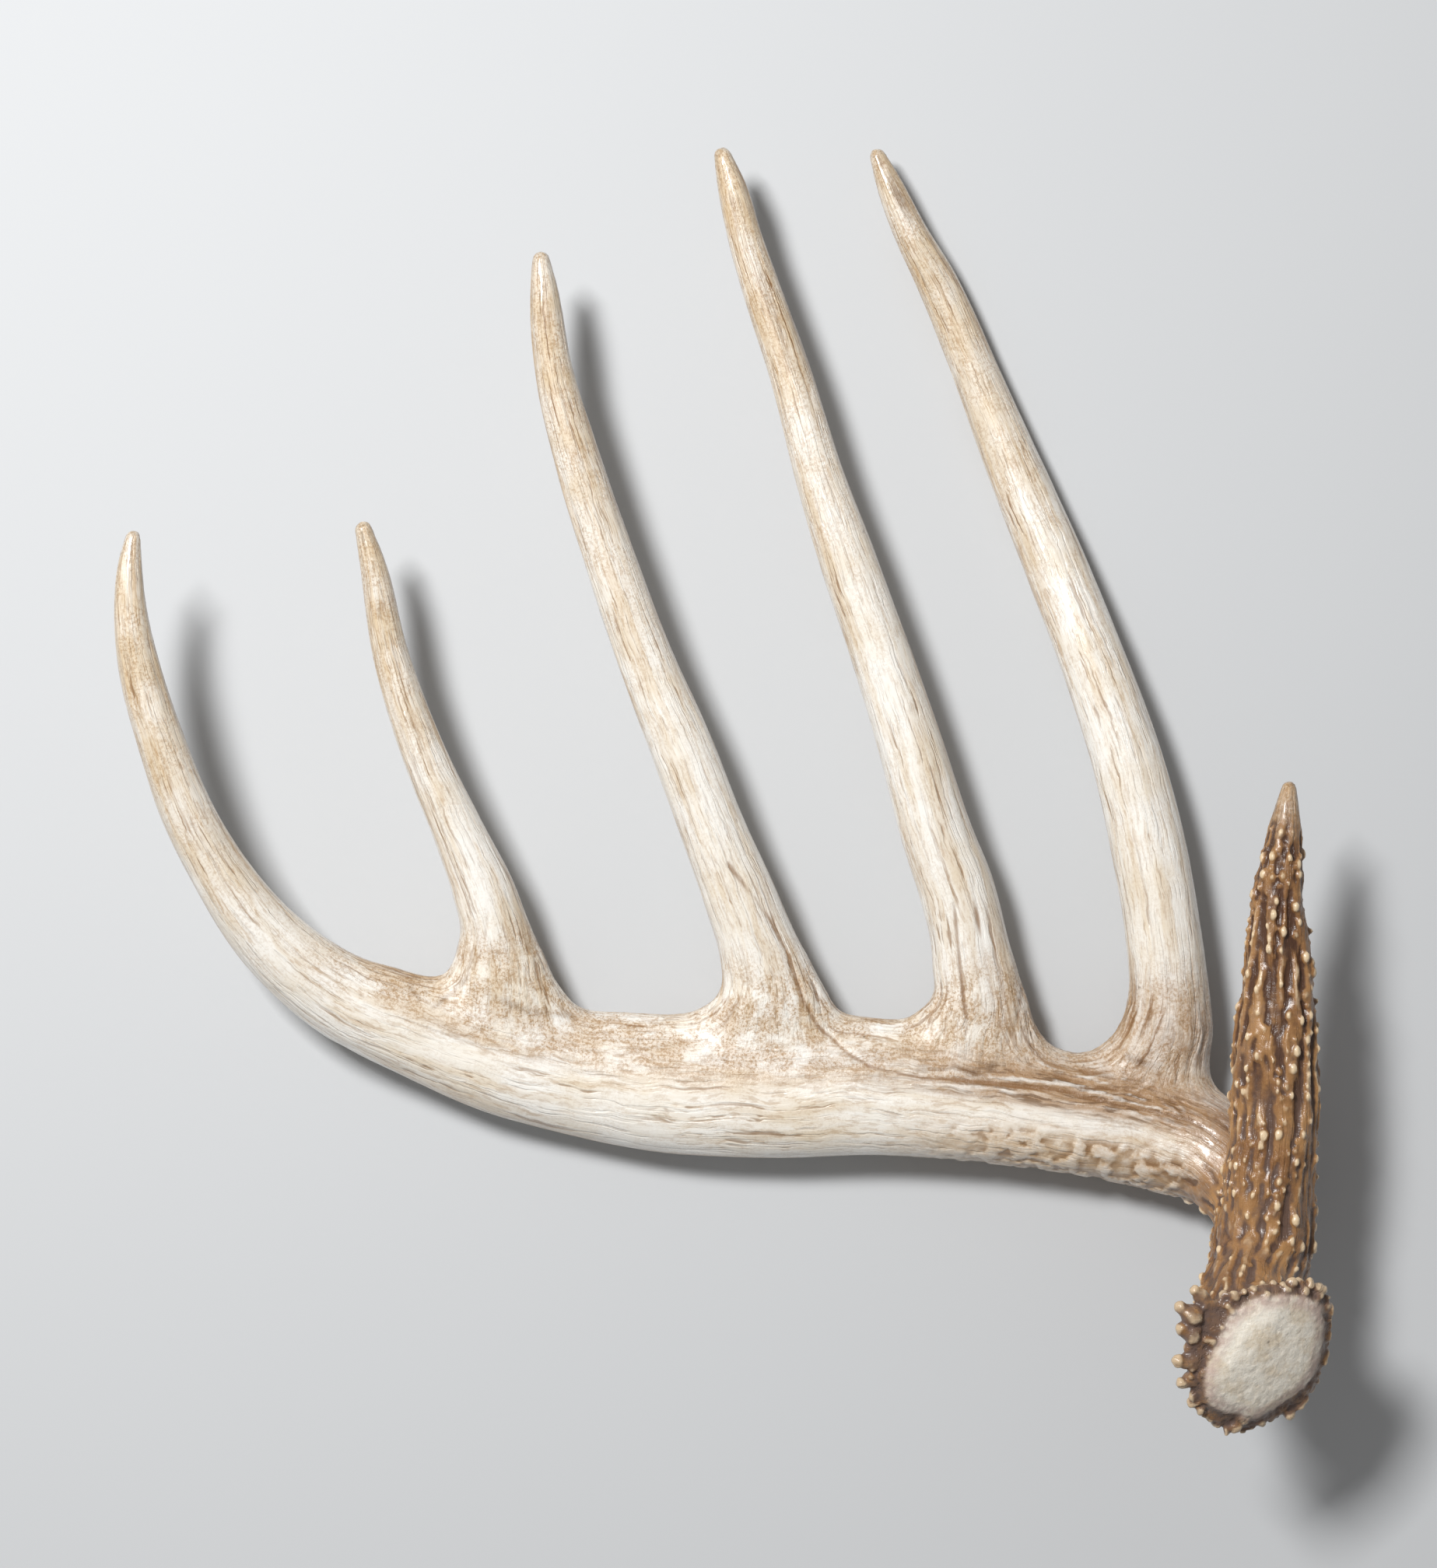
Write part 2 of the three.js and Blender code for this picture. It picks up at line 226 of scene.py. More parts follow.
def smooth_rows(stations, step):
    """Rows a step apart on a Hermite curve through the stations."""
    knots = np.array(stations, float)
    run = np.linalg.norm(np.diff(knots[:, :3], axis=0), axis=1)
    at = np.concatenate([[0], np.cumsum(run)])
    rise = np.diff(knots, axis=0) / run[:, None]
    slope = np.concatenate([rise[:1], rise[1:], rise[-1:]])
    mixed = rise[:-1] * run[1:, None] + rise[1:] * run[:-1, None]
    slope[1:-1] = mixed / (run[1:] + run[:-1])[:, None]
    wanted = np.arange(0, at[-1], step)
    i = np.clip(np.searchsorted(at, wanted, side="right") - 1, 0, len(run) - 1)
    x = ((wanted - at[i]) / run[i])[:, None]
    reach = run[i][:, None]
    start = (2 * x**3 - 3 * x**2 + 1) * knots[i] + (x**3 - 2 * x**2 + x) * reach * slope[i]
    return start + (3 * x**2 - 2 * x**3) * knots[i + 1] + (x**3 - x**2) * reach * slope[i + 1]


class Branch:
    """The rows of one branch, in metres, with the directions that go with each row."""

    def __init__(self, stations):
        rows = smooth_rows(stations, ROW_STEP)
        self.centre = (rows[:, :3] + ORIGIN) * MM
        self.half = rows[:, 3:5] * MM
        self.thinner = rows[:, 5]
        self.tangent = unit(np.gradient(self.centre, axis=0))
        self.across = unit(np.cross(self.tangent, [0.0, 0.0, 1.0]))
        self.deep = np.cross(self.across, self.tangent)
        steps = np.linalg.norm(np.diff(self.centre, axis=0), axis=1)
        self.along = np.concatenate([[0], np.cumsum(steps)])
        side = [self.across[-1]]
        for tangent in self.tangent[-2::-1]:
            carried = side[-1] - tangent * np.dot(side[-1], tangent)
            side.append(carried / np.linalg.norm(carried))
        self.side = np.array(side[::-1])
        self.lift = np.cross(self.side, self.tangent)


branches = {name: Branch(rows) for name, rows in STATIONS.items()}
print("lengths, mm:", {n: round(b.along[-1] / MM) for n, b in branches.items()})

# %% [markdown]
# ## Skin the branches
# Each branch becomes a closed tube with a round tip. Rings of vertices are laid down in one
# array, which is far quicker than adding faces one by one. The tubes run into each other at the
# forks, and that overlap is what the fusing step needs.

# %% Tubes
RING = 48
ROWS_PER_RING = 4
TIP_RINGS = 6


def object_from(name, points, faces):
    mesh = bpy.data.meshes.new(name)
    mesh.from_pydata([tuple(p) for p in points], [], faces)
    return link(bpy.data.objects.new(name, mesh))


def ring_faces(rings, sides):
    """Quads between the rings, with a triangle fan at the first point and the last."""
    faces = []
    for r in range(rings - 1):
        for a in range(sides):
            b = (a + 1) % sides
            low, high = r * sides, (r + 1) * sides
            faces.append((low + a, low + b, high + b, high + a))
    first, last = rings * sides, rings * sides + 1
    top = (rings - 1) * sides
    for a in range(sides):
        b = (a + 1) % sides
        faces.append((first, b, a))
        faces.append((last, top + a, top + b))
    return faces


def tube(name, branch):
    angle = np.linspace(0, 2 * math.pi, RING, endpoint=False)
    cosine, sine = np.cos(angle)[:, None], np.sin(angle)[:, None]
    rings = []
    last = len(branch.centre) - 1
    picks = list(range(0, last, ROWS_PER_RING)) + [last]
    for i in picks:
        wide, high = branch.half[i]
        squeeze = 1 - branch.thinner[i] * cosine
        around = cosine * wide * branch.across[i] + sine * high * squeeze * branch.deep[i]
        rings.append(branch.centre[i] + around)
    wide, high = branch.half[last]
    for k in range(1, TIP_RINGS):
        turn = k / TIP_RINGS * math.pi / 2
        middle = branch.centre[last] + branch.tangent[last] * wide * math.sin(turn)
        around = cosine * wide * branch.across[last] + sine * high * branch.deep[last]
        rings.append(middle + around * math.cos(turn))
    ends = [branch.centre[0], branch.centre[last] + branch.tangent[last] * wide]
    points = np.concatenate(rings + [np.array(ends)])
    return object_from(name, points, ring_faces(len(rings), RING))


tubes = [tube(name + "_tube", branch) for name, branch in branches.items()]
print("tubes:", len(tubes), "with", sum(len(t.data.vertices) for t in tubes), "vertices")

# %% [markdown]
# ## The burr and its seal
# The burr is the crown of knobs round the face that the antler was shed from. Its face, the
# seal, is a low dome of spongy bone. Neither edge is a circle, so both were measured point by
# point, and the rings between them are laid on the tilted plane of the seat.

# %% Burr
SEAT_CENTRE = np.array([180, -192.5, 97.5])
SEAT_NORMAL = unit(np.array([0.42, -0.36, 0.83]))
HIGHEST = 106.5
SEAL_EDGE = [
    (172.1, -170.7), (180.7, -169.1), (189.6, -170), (195.5, -171.7), (198.5, -175.1),
    (199.2, -182.7), (198.6, -190.4), (197, -198.2), (193.4, -202.9), (187, -207.5),
    (181, -210.8), (175.3, -213.2), (169.3, -210.3), (164.2, -209.1), (159.7, -206.5),
    (157.4, -198.4), (157.9, -193.4), (160.1, -187.6), (162.9, -181.6), (166.2, -174.6),
]
RIM_EDGE = [
    (177.4, -167.2), (185.2, -166.6), (192.2, -167.3), (197.6, -169.5), (200.6, -173.5),
    (201.4, -182), (201, -191), (199.6, -200), (195, -207.5), (188.1, -212),
    (178.3, -215.6), (168.2, -216.4), (160.6, -211.4), (155.5, -203.5), (153.8, -195),
    (153.6, -187), (153.9, -180), (156.4, -174), (163, -170.4), (170, -168.4),
]
# Each ring's share of the seal's edge, its share of the rim's edge, and its drop below the seat.
BURR_PROFILE = [
    (0, 0.35, 24), (0, 0.62, 21.5), (0, 0.82, 17.5), (0, 0.94, 13), (0, 1, 9.6), (0, 0.985, 7.2),
    (0.15, 0.82, 5.4), (0.45, 0.52, 5.2), (0.8, 0.19, 5.4), (1, 0, 3.6), (0.93, 0, 2.1),
    (0.8, 0, 1.1), (0.6, 0, 0.5), (0.35, 0, 0.15), (0.15, 0, 0),
]
BURR_DEPTH = 24
HIGHEST_EASE = 3
BURR_SIDES = 120
EDGE_BLUR = 2


def edge_radius(edge, angles):
    """The distance of an edge from the middle of the seat, at each angle seen from above."""
    offset = np.array(edge) - SEAT_CENTRE[:2]
    at = np.arctan2(offset[:, 1], offset[:, 0])
    order = np.argsort(at)
    found = np.interp(angles, at[order], np.linalg.norm(offset, axis=1)[order], period=2 * math.pi)
    for _ in range(EDGE_BLUR):
        found = (np.roll(found, 1) + 2 * found + np.roll(found, -1)) / 4
    return found


def on_seat(x, y, drop):
    """A point on the seat's plane, or a drop below it, in metres. The crown's top is kept low."""
    tilt = (np.stack([x, y], axis=-1) - SEAT_CENTRE[:2]) @ SEAT_NORMAL[:2] / SEAT_NORMAL[2]
    z = SEAT_CENTRE[2] - tilt - drop
    ease = HIGHEST - HIGHEST_EASE
    z = np.where(z > ease, ease + HIGHEST_EASE * np.tanh((z - ease) / (2 * HIGHEST_EASE)), z)
    return np.stack([x, y, z], axis=-1) * MM


def burr():
    angles = np.arange(BURR_SIDES) / BURR_SIDES * 2 * math.pi
    seal_radius = edge_radius(SEAL_EDGE, angles)
    rim_radius = edge_radius(RIM_EDGE, angles)
    rings = []
    for seal_share, rim_share, drop in BURR_PROFILE:
        radius = seal_share * seal_radius + rim_share * rim_radius
        x = SEAT_CENTRE[0] + radius * np.cos(angles)
        y = SEAT_CENTRE[1] + radius * np.sin(angles)
        rings.append(on_seat(x, y, drop))
    ends = on_seat(SEAT_CENTRE[[0, 0]], SEAT_CENTRE[[1, 1]], np.array([BURR_DEPTH, 0]))
    points = np.concatenate(rings + [ends])
    return object_from("burr_disc", points, ring_faces(len(rings), BURR_SIDES))


burr_disc = burr()
print("burr sides:", BURR_SIDES)

# %% [markdown]
# ## Meshes as rows of numbers
# The skin will have hundreds of thousands of vertices, too many for a plain loop. A mesh
# hands all its rows over as one array and takes them back the same way, so a few small helpers
# do the reading and writing, and join and fuse objects.

# %% Helpers for meshes
def plain_mesh(made):
    """Replaces the object's modifiers by the mesh that they make."""
    graph = bpy.context.evaluated_depsgraph_get()
    mesh = bpy.data.meshes.new_from_object(made.evaluated_get(graph))
    made.modifiers.clear()
    made.data = mesh
    return made


def join(pieces, name):
    bpy.ops.object.select_all(action="DESELECT")
    for piece in pieces:
        piece.select_set(True)
    bpy.context.view_layer.objects.active = pieces[0]
    bpy.ops.object.join()
    pieces[0].name = name
    return pieces[0]


def duplicate(made):
    """A second object with a mesh of its own."""
    twin = made.copy()
    twin.data = made.data.copy()
    return link(twin)


def voxel_fuse(made, voxel):
    remesh = made.modifiers.new("fuse", "REMESH")
    remesh.mode = "VOXEL"
    remesh.voxel_size = voxel
    return plain_mesh(made)


def read_rows(group, field, width):
    rows = np.empty(len(group) * width, np.float32)
    group.foreach_get(field, rows)
    return rows.reshape(-1, width).astype(float)


def write_points(mesh, points):
    mesh.vertices.foreach_set("co", points.astype(np.float32).ravel())
    mesh.update()


def read_edges(mesh):
    edges = np.empty(len(mesh.edges) * 2, np.int32)
    mesh.edges.foreach_get("vertices", edges)
    return edges.reshape(-1, 2)


print("mesh helpers are ready")

# %% [markdown]
# ## Softening a skin
# Pulling each vertex towards the mean of its neighbours rounds a valley or an edge off. Done for
# long it shrinks a tine, so where the size has to stay, each shrinking step is followed by one
# that swells.

# %% Relax and smooth
SHRINK = 0.5
SWELL = -0.53


def relax(points, edges, strength, rounds):
    """Moves every point towards the mean of its neighbours, by its own strength."""
    count = np.bincount(edges.ravel(), minlength=len(points))[:, None]
    for _ in range(rounds):
        total = np.empty_like(points)
        for axis in range(3):
            ends = np.bincount(edges[:, 0], points[edges[:, 1], axis], len(points))
            total[:, axis] = ends + np.bincount(edges[:, 1], points[edges[:, 0], axis], len(points))
        points = points + strength * (total / count - points)
    return points


def smooth_in_place(points, edges, rounds):
    """Shrinks and swells by turns, which rounds edges off and keeps tips their length."""
    for _ in range(rounds):
        points = relax(points, edges, SHRINK, 1)
        points = relax(points, edges, SWELL, 1)
    return points


def ramp(value, low, high):
    """0 at low, 1 at high, and a smooth step between."""
    x = np.clip((value - low) / (high - low), 0, 1)
    return x * x * (3 - 2 * x)


print("softening:", SHRINK, "in and", -SWELL, "out")

# %% [markdown]
# ## Where a point is on a branch
# Much of what follows asks how far down a branch a point lies, and on which side of it. The
# nearest row of the branch answers that. Looking among every twelfth row first, and then close
# by, takes a tenth of the time of looking among all.

# %% Nearest rows and places
COARSE = 12
NEAR_ROWS = np.arange(-14, 15)
CHUNK = 20000
GRAIN_RADIUS = 12 * MM
THINNEST = 0.3


def nearest_rows(branch, points):
    """The row of the branch nearest to each point: first among every twelfth, then close by."""
    rough = branch.centre[::COARSE]
    best = np.empty(len(points), np.int64)
    for start in range(0, len(points), CHUNK):
        p = points[start:start + CHUNK]
        gap = (rough**2).sum(1)[None] - 2 * p @ rough.T
        rows = np.clip((gap.argmin(1) * COARSE)[:, None] + NEAR_ROWS, 0, len(branch.centre) - 1)
        gap = ((branch.centre[rows] - p[:, None])**2).sum(2)
        best[start:start + CHUNK] = rows[np.arange(len(p)), gap.argmin(1)]
    return best


def place_on(branch, points):
    """For each point: grain coordinates, depth outside the branch, offset across and direction."""
    best = nearest_rows(branch, points)
    offset = points - branch.centre[best]
    ahead = np.einsum("ij,ij->i", offset, branch.tangent[best])
    size = np.sqrt(branch.half[best, 0] * branch.half[best, 1]) / GRAIN_RADIUS
    side = np.einsum("ij,ij->i", offset, branch.side[best]) / size
    lift = np.einsum("ij,ij->i", offset, branch.lift[best]) / size
    across = np.einsum("ij,ij->i", offset, branch.across[best])
    wide = across / branch.half[best, 0]
    high = np.einsum("ij,ij->i", offset, branch.deep[best]) / branch.half[best, 1]
    high = high / np.maximum(THINNEST, 1 - branch.thinner[best] * wide)
    past = np.where((best == 0) | (best == len(branch.centre) - 1), np.abs(ahead), 0)
    depth = (np.sqrt(wide**2 + high**2) - 1) * branch.half[best].min(1) + past
    grain = np.stack([branch.along[best] + ahead, side, lift], axis=1)
    return grain, depth, across, branch.tangent[best]


print("rows looked at for a point:", len(NEAR_ROWS))

# %% [markdown]
# ## Fuse the bone, then soften the forks
# A voxel remesh turns the heap of tubes into one skin. Where two tubes meet it leaves a sharp
# valley, while real bone flows through the fork in a wide web. The second depth of a point says
# how near it is to a fork, so the valleys are filled there and nowhere else.

# %% Fuse and soften
BASE_VOXEL = 1.15 * MM
FORK_CORE = 1 * MM
FORK_REACH = 13 * MM
FORK_SOFTENING = 0.8
FORK_ROUNDS = 55
SMOOTH_ROUNDS = 4

antler = voxel_fuse(join(tubes + [burr_disc], "antler"), BASE_VOXEL)
points = read_rows(antler.data.vertices, "co", 3)
edges = read_edges(antler.data)
places = {name: place_on(branch, points) for name, branch in branches.items()}
depths = np.sort(np.array([place[1] for place in places.values()]), axis=0)
fork = 1 - ramp(depths[1], FORK_CORE, FORK_REACH)
points = relax(points, edges, (FORK_SOFTENING * fork)[:, None], FORK_ROUNDS)
points = smooth_in_place(points, edges, SMOOTH_ROUNDS)
write_points(antler.data, points)
print("fused skin:", len(points), "vertices")

# %% [markdown]
# ## Survey the bone
# Colour and relief both follow the way the bone grew, so each vertex learns where it is: how far
# along its branch, in coordinates that run with the grain, and how much bark, beading or web
# grows there. These numbers ride on the mesh as attributes that every later step can read.

# %% Masks on the mesh
# Each pair gives distances along the beam in millimetres, and the strength at each.
BARK_ALONG = ([0, 64, 82, 98, 130, 200], [1, 0.96, 0.68, 0.36, 0.14, 0])
PEARL_ALONG = ([0, 58, 84, 112], [1, 0.9, 0.3, 0])
UNDER_ALONG = ([60, 95, 165, 210], [0, 1, 0.8, 0])
STAIN_ALONG = ([80, 105, 160, 185, 215, 330, 420], [0.4, 1, 0.9, 0.6, 0.22, 0.15, 0])
WEB_ALONG = ([80, 120, 395, 430], [0, 1, 1, 0])
GROOVE_ALONG = ([90, 112, 160, 188], [0.2, 1, 0.8, 0])
OUTLINE_BAND = 0.12
GAP_SOFTENING = 0.5
GAP_ROUNDS = 4


def put(mesh, name, values):
    kind = "FLOAT_VECTOR" if values.ndim > 1 else "FLOAT"
    field = "vector" if values.ndim > 1 else "value"
    if name not in mesh.attributes:
        mesh.attributes.new(name, kind, "POINT")
    mesh.attributes[name].data.foreach_set(field, values.astype(np.float32).ravel())


def edge_distance(points, facing, edges):
    """Distance from the outline that shows from above. Its level lines run with the grain."""
    outline = points[np.abs(facing[:, 2]) < OUTLINE_BAND]
    tree = KDTree(len(outline))
    for i, place in enumerate(outline):
        tree.insert(place, i)
    tree.balance()
    gap = np.array([tree.find(place)[2] for place in points])
    return relax(gap[:, None].repeat(3, axis=1), edges, GAP_SOFTENING, GAP_ROUNDS)[:, 0]


print("outline band:", OUTLINE_BAND)

# %% [markdown]
# ## One survey for every mask
# Distances along the beam set where bark, beads, webs and stains begin and end. Each mask then
# fades with its own smooth step, so that no edge of one shows. What belongs to a tine and what to
# the beam is weighed by which of them the point is deeper inside.

# %% Survey every vertex
# Each pair is where a mask begins and where it is whole: in metres for the share, in millimetres
# along a tine, across the beam or above the seat, as a part of a length or a radius for tips, the
# seal and the rim, and as a part of the normal for the underside.
SHARE_BAND = (-4 * MM, 6 * MM)
UNDER_FACING = (-0.15, 0.4)
STAIN_ACROSS = (-2, 4)
STAIN_ACROSS_END = (10, 20)
WEB_ACROSS = (-2, 9)
GROOVE_ACROSS = (2, 9)
BROW_BEADS = (148, 163)
BROW_ASH = (40, 95)
BROW_PALE_TIP = (140, 168)
BARK_LOST_AT_TIP = 0.55
TINE_BARK = (20, 60)
TINE_WEB = (22, 46)
BEAM_TIP = (0.66, 1)
TINE_TIP = (0.3, 1)
BURR_HEIGHT = (-16, -10)
SEAL_HEIGHT = (-9, -7)
SEAL_OUT = (0.94, 1.0)
SEAL_EDGE_OUT = (0.45, 0.97)
RIM_OUT = (0.9, 1.0)
TINE_SHIFT = 1.0


def survey(mesh, places):
    points = read_rows(mesh.vertices, "co", 3)
    facing = read_rows(mesh.vertex_normals, "vector", 3)
    beam, beam_depth, beam_across, beam_run = places["main_beam"]
    tines = [name for name in branches if name != "main_beam"]
    depth = np.array([places[name][1] for name in tines])
    nearest = depth.argmin(0)
    pick = (nearest, np.arange(len(points)))
    tine = np.array([places[name][0] for name in tines])[pick]
    run = np.array([places[name][3] for name in tines])[pick]
    length = np.array([branches[name].along[-1] for name in tines])[nearest]
    share = ramp(beam_depth - depth[pick], *SHARE_BAND)
    across = beam_across / MM
    along_beam = beam[:, 0] / MM
    along_tine = tine[:, 0] / MM
    brow = np.where(nearest == tines.index("brow_tine"), share, 0)
    under = np.interp(along_beam, *UNDER_ALONG) * ramp(-facing[:, 1], *UNDER_FACING) * (1 - share)
    stain = ramp(across, *STAIN_ACROSS) * (1 - ramp(across, *STAIN_ACROSS_END))
    stain = stain * np.interp(along_beam, *STAIN_ALONG)
    bark = np.interp(along_beam, *BARK_ALONG) * (1 - share * ramp(along_tine, *TINE_BARK))
    bark = bark * (1 - brow) + brow * (1 - BARK_LOST_AT_TIP * ramp(along_tine, *BROW_PALE_TIP))
    pearl = np.interp(along_beam, *PEARL_ALONG) * (1 - share)
    pearl = np.maximum(pearl, brow * (1 - ramp(along_tine, *BROW_BEADS)))
    web = ramp(across, *WEB_ACROSS) * (1 - share) + share * (1 - ramp(along_tine, *TINE_WEB))
    web = web * np.interp(along_beam, *WEB_ALONG) * (1 - brow)
    groove = web * ramp(across, *GROOVE_ACROSS) * np.interp(along_beam, *GROOVE_ALONG)
    beam_end = ramp(beam[:, 0] / branches["main_beam"].along[-1], *BEAM_TIP)
    tip = beam_end * (1 - share) + share * ramp(tine[:, 0] / length, *TINE_TIP)
    offset = points / MM - SEAT_CENTRE
    angles = np.arctan2(offset[:, 1], offset[:, 0])
    out = np.hypot(offset[:, 0], offset[:, 1])
    height = offset @ SEAT_NORMAL
    turn = np.linspace(-math.pi, math.pi, BURR_SIDES)
    seal_out = np.interp(angles, turn, edge_radius(SEAL_EDGE, turn))
    near_burr = ramp(height, *BURR_HEIGHT)
    seal = (1 - ramp(out / seal_out, *SEAL_OUT)) * ramp(height, *SEAL_HEIGHT)
    rim = near_burr * ramp(out / seal_out, *RIM_OUT)
    pearl = pearl * (1 - near_burr)
    put(mesh, "inset", edge_distance(points, facing, read_edges(mesh)))
    put(mesh, "grain_beam", beam)
    put(mesh, "grain_tine", tine + np.stack([(nearest + 1) * TINE_SHIFT, 0 * share, 0 * share], axis=1))
    put(mesh, "run", np.where(share[:, None] > 0.5, run, beam_run))
    ash = np.maximum(brow * (1 - ramp(along_tine, *BROW_ASH)), pearl * (1 - brow))
    numbers = {
        "tine_share": share, "bark": bark, "pearl": pearl, "web": web, "groove": groove, "tip": tip,
        "under": under, "stain": stain, "seal": seal, "rim": rim, "ash": np.maximum(ash, rim),
        "seal_edge": ramp(out / seal_out, *SEAL_EDGE_OUT),
    }
    for name, values in numbers.items():
        put(mesh, name, values)


places = {name: place_on(branch, points) for name, branch in branches.items()}
survey(antler.data, places)
print("attributes:", [a.name for a in antler.data.attributes if a.domain == "POINT"])

# %% [markdown]
# ## Node maths written as sums
# Both the relief and the colours are node trees, and most of what they do is arithmetic. This
# small class wraps one socket, so that a plus sign adds a Math node. The same class serves
# Geometry Nodes and shaders, and grain noise is then one function for both.

# %% A socket that can do sums
class Wire:
    """One socket of a node tree, or the bare tree. Its operators add Math nodes."""

    def __init__(self, tree, socket=None):
        self.tree = tree
        self.socket = socket

    def add(self, kind, settings=None, values=None, out=0):
        """Adds any node: its settings first, then values or wires for its sockets."""
        made = self.tree.nodes.new(kind)
        for name, value in (settings or {}).items():
            setattr(made, name, value)
        for key, value in (values or {}).items():
            if isinstance(value, Wire):
                self.tree.links.new(value.socket, made.inputs[key])
            else:
                made.inputs[key].default_value = value
        return Wire(self.tree, made.outputs[out])

    def math(self, operation, *values):
        return self.add("ShaderNodeMath", {"operation": operation}, dict(enumerate(values)))

    def vector_math(self, operation, *values, out=0):
        return self.add("ShaderNodeVectorMath", {"operation": operation}, dict(enumerate(values)), out)

    def __add__(self, other):
        return self.math("ADD", self, other)

    __radd__ = __add__

    def __mul__(self, other):
        return self.math("MULTIPLY", self, other)

    __rmul__ = __mul__

    def __sub__(self, other):
        return self.math("SUBTRACT", self, other)

    def __rsub__(self, other):
        return self.math("SUBTRACT", other, self)

    def __neg__(self):
        return self.math("MULTIPLY", self, -1)

    def ramp(self, low, high):
        """0 at low, 1 at high, with a smooth step between. It may run downwards."""
        ends = {0: self, 1: low, 2: high, 3: 0, 4: 1}
        return self.add("ShaderNodeMapRange", {"interpolation_type": "SMOOTHSTEP"}, ends)

    def blend(self, first, second):
        """First where this wire is 0, second where it is 1, for numbers."""
        return self.add("ShaderNodeMix", {}, {0: self, 2: first, 3: second})

    def tint(self, first, second):
        """The same for colours."""
        return self.add("ShaderNodeMix", {"data_type": "RGBA"}, {0: self, 6: first, 7: second}, out=2)

    def attribute(self, name, kind="FLOAT"):
        if self.tree.bl_idname == "GeometryNodeTree":
            return self.add("GeometryNodeInputNamedAttribute", {"data_type": kind}, {0: name})
        return self.add("ShaderNodeAttribute", {"attribute_name": name}, out=2 if kind == "FLOAT" else 1)

    def place(self):
        if self.tree.bl_idname == "GeometryNodeTree":
            return self.add("GeometryNodeInputPosition")
        return self.add("ShaderNodeTexCoord", out=3)

    def noise(self, vector, scale, detail=2.0, roughness=0.5, out=0):
        values = {"Vector": vector, "Scale": scale, "Detail": detail, "Roughness": roughness}
        return self.add("ShaderNodeTexNoise", {}, values, out)


print("wires are ready")

# %% [markdown]
# ## Noise that runs with the grain
# Everything on an antler is drawn out along it. A noise read in grain coordinates and squeezed
# across them gives streaks down the beam and up each tine. In the webs the bone flows round the
# fork, so there the distance from the outline takes the place of the coordinate across.

# %% Streaks and flow
class Grain:
    """The two sets of grain coordinates, let wander a little, with noise drawn out along them."""

    def __init__(self, start, wander=1.1 * MM, wavelength=14 * MM):
        self.start = start
        self.share = start.attribute("tine_share")
        drift = start.noise(start.place(), 1 / wavelength, 1.0, out=1)
        drift = start.vector_math("SUBTRACT", drift, (0.5, 0.5, 0.5))
        drift = start.vector_math("MULTIPLY", drift, (0, 2 * wander, 2 * wander))
        self.coordinates = []
        for name in ("grain_beam", "grain_tine"):
            plain = start.attribute(name, "FLOAT_VECTOR")
            self.coordinates.append(start.vector_math("ADD", plain, drift))

    def streaks(self, length, width, detail=2.0, roughness=0.5, shift=0.0):
        """Noise whose spots are length long down the grain and width wide across it, in metres."""
        found = []
        for coordinates in self.coordinates:
            size = (1 / length, 1 / width, 1 / width)
            stretched = self.start.vector_math("MULTIPLY", coordinates, size)
            moved = self.start.vector_math("ADD", stretched, (shift, shift, shift))
            found.append(self.start.noise(moved, 1.0, detail, roughness))
        return self.share.blend(*found)


def flow(start, length, width, detail=2.0, roughness=0.5, shift=0.0):
    """Streaks that stay parallel to the outline, for the webs of the forks."""
    place = start.vector_math("SCALE", start.place())
    place.socket.node.inputs["Scale"].default_value = 1 / length
    across = start.attribute("inset") * (1 / width) + shift
    values = {"Vector": place, "W": across, "Scale": 1.0, "Detail": detail, "Roughness": roughness}
    return start.add("ShaderNodeTexNoise", {"noise_dimensions": "4D"}, values)


print("grain is ready")

# %% [markdown]
# ## Colours of an antler
# A shed antler is ivory where it was rubbed against trees, and brown where it was not. The brown
# is bark juice and dirt. On top of that the paint darkens the hollows as painted shade and pales the
# crests as painted highlight, partly rubbed wear. A relief attribute, made later from the mesh
# itself, says which is which, so the paint always fits the shape.

# %% Rubbed bone
IVORY = (0.90, 0.87, 0.81, 1)
WARM_IVORY = (0.77, 0.67, 0.52, 1)
TAN = (0.54, 0.36, 0.19, 1)
TIP_TAN = (0.60, 0.45, 0.265, 1)
FLECK_AND_SHADE = (0.38, 0.225, 0.10, 1)
STAIN = (0.37, 0.22, 0.11, 1)
STREAK_AND_SHADE = (0.245, 0.125, 0.05, 1)
THREAD = (0.15, 0.078, 0.034, 1)
CALM_FROM = 9 * MM
CALM_TO = 16 * MM
EDGE_TAN_AND_SHADE_WIDTH = 6 * MM


def limited(wire):
    return wire.math("MINIMUM", wire, 1.0)


def calm_web(start):
    """1 on plain bone, falling to 0 in a web far from the outline, where fine lines would clash."""
    return 1 - start.attribute("web") * start.attribute("inset").ramp(CALM_FROM, CALM_TO)


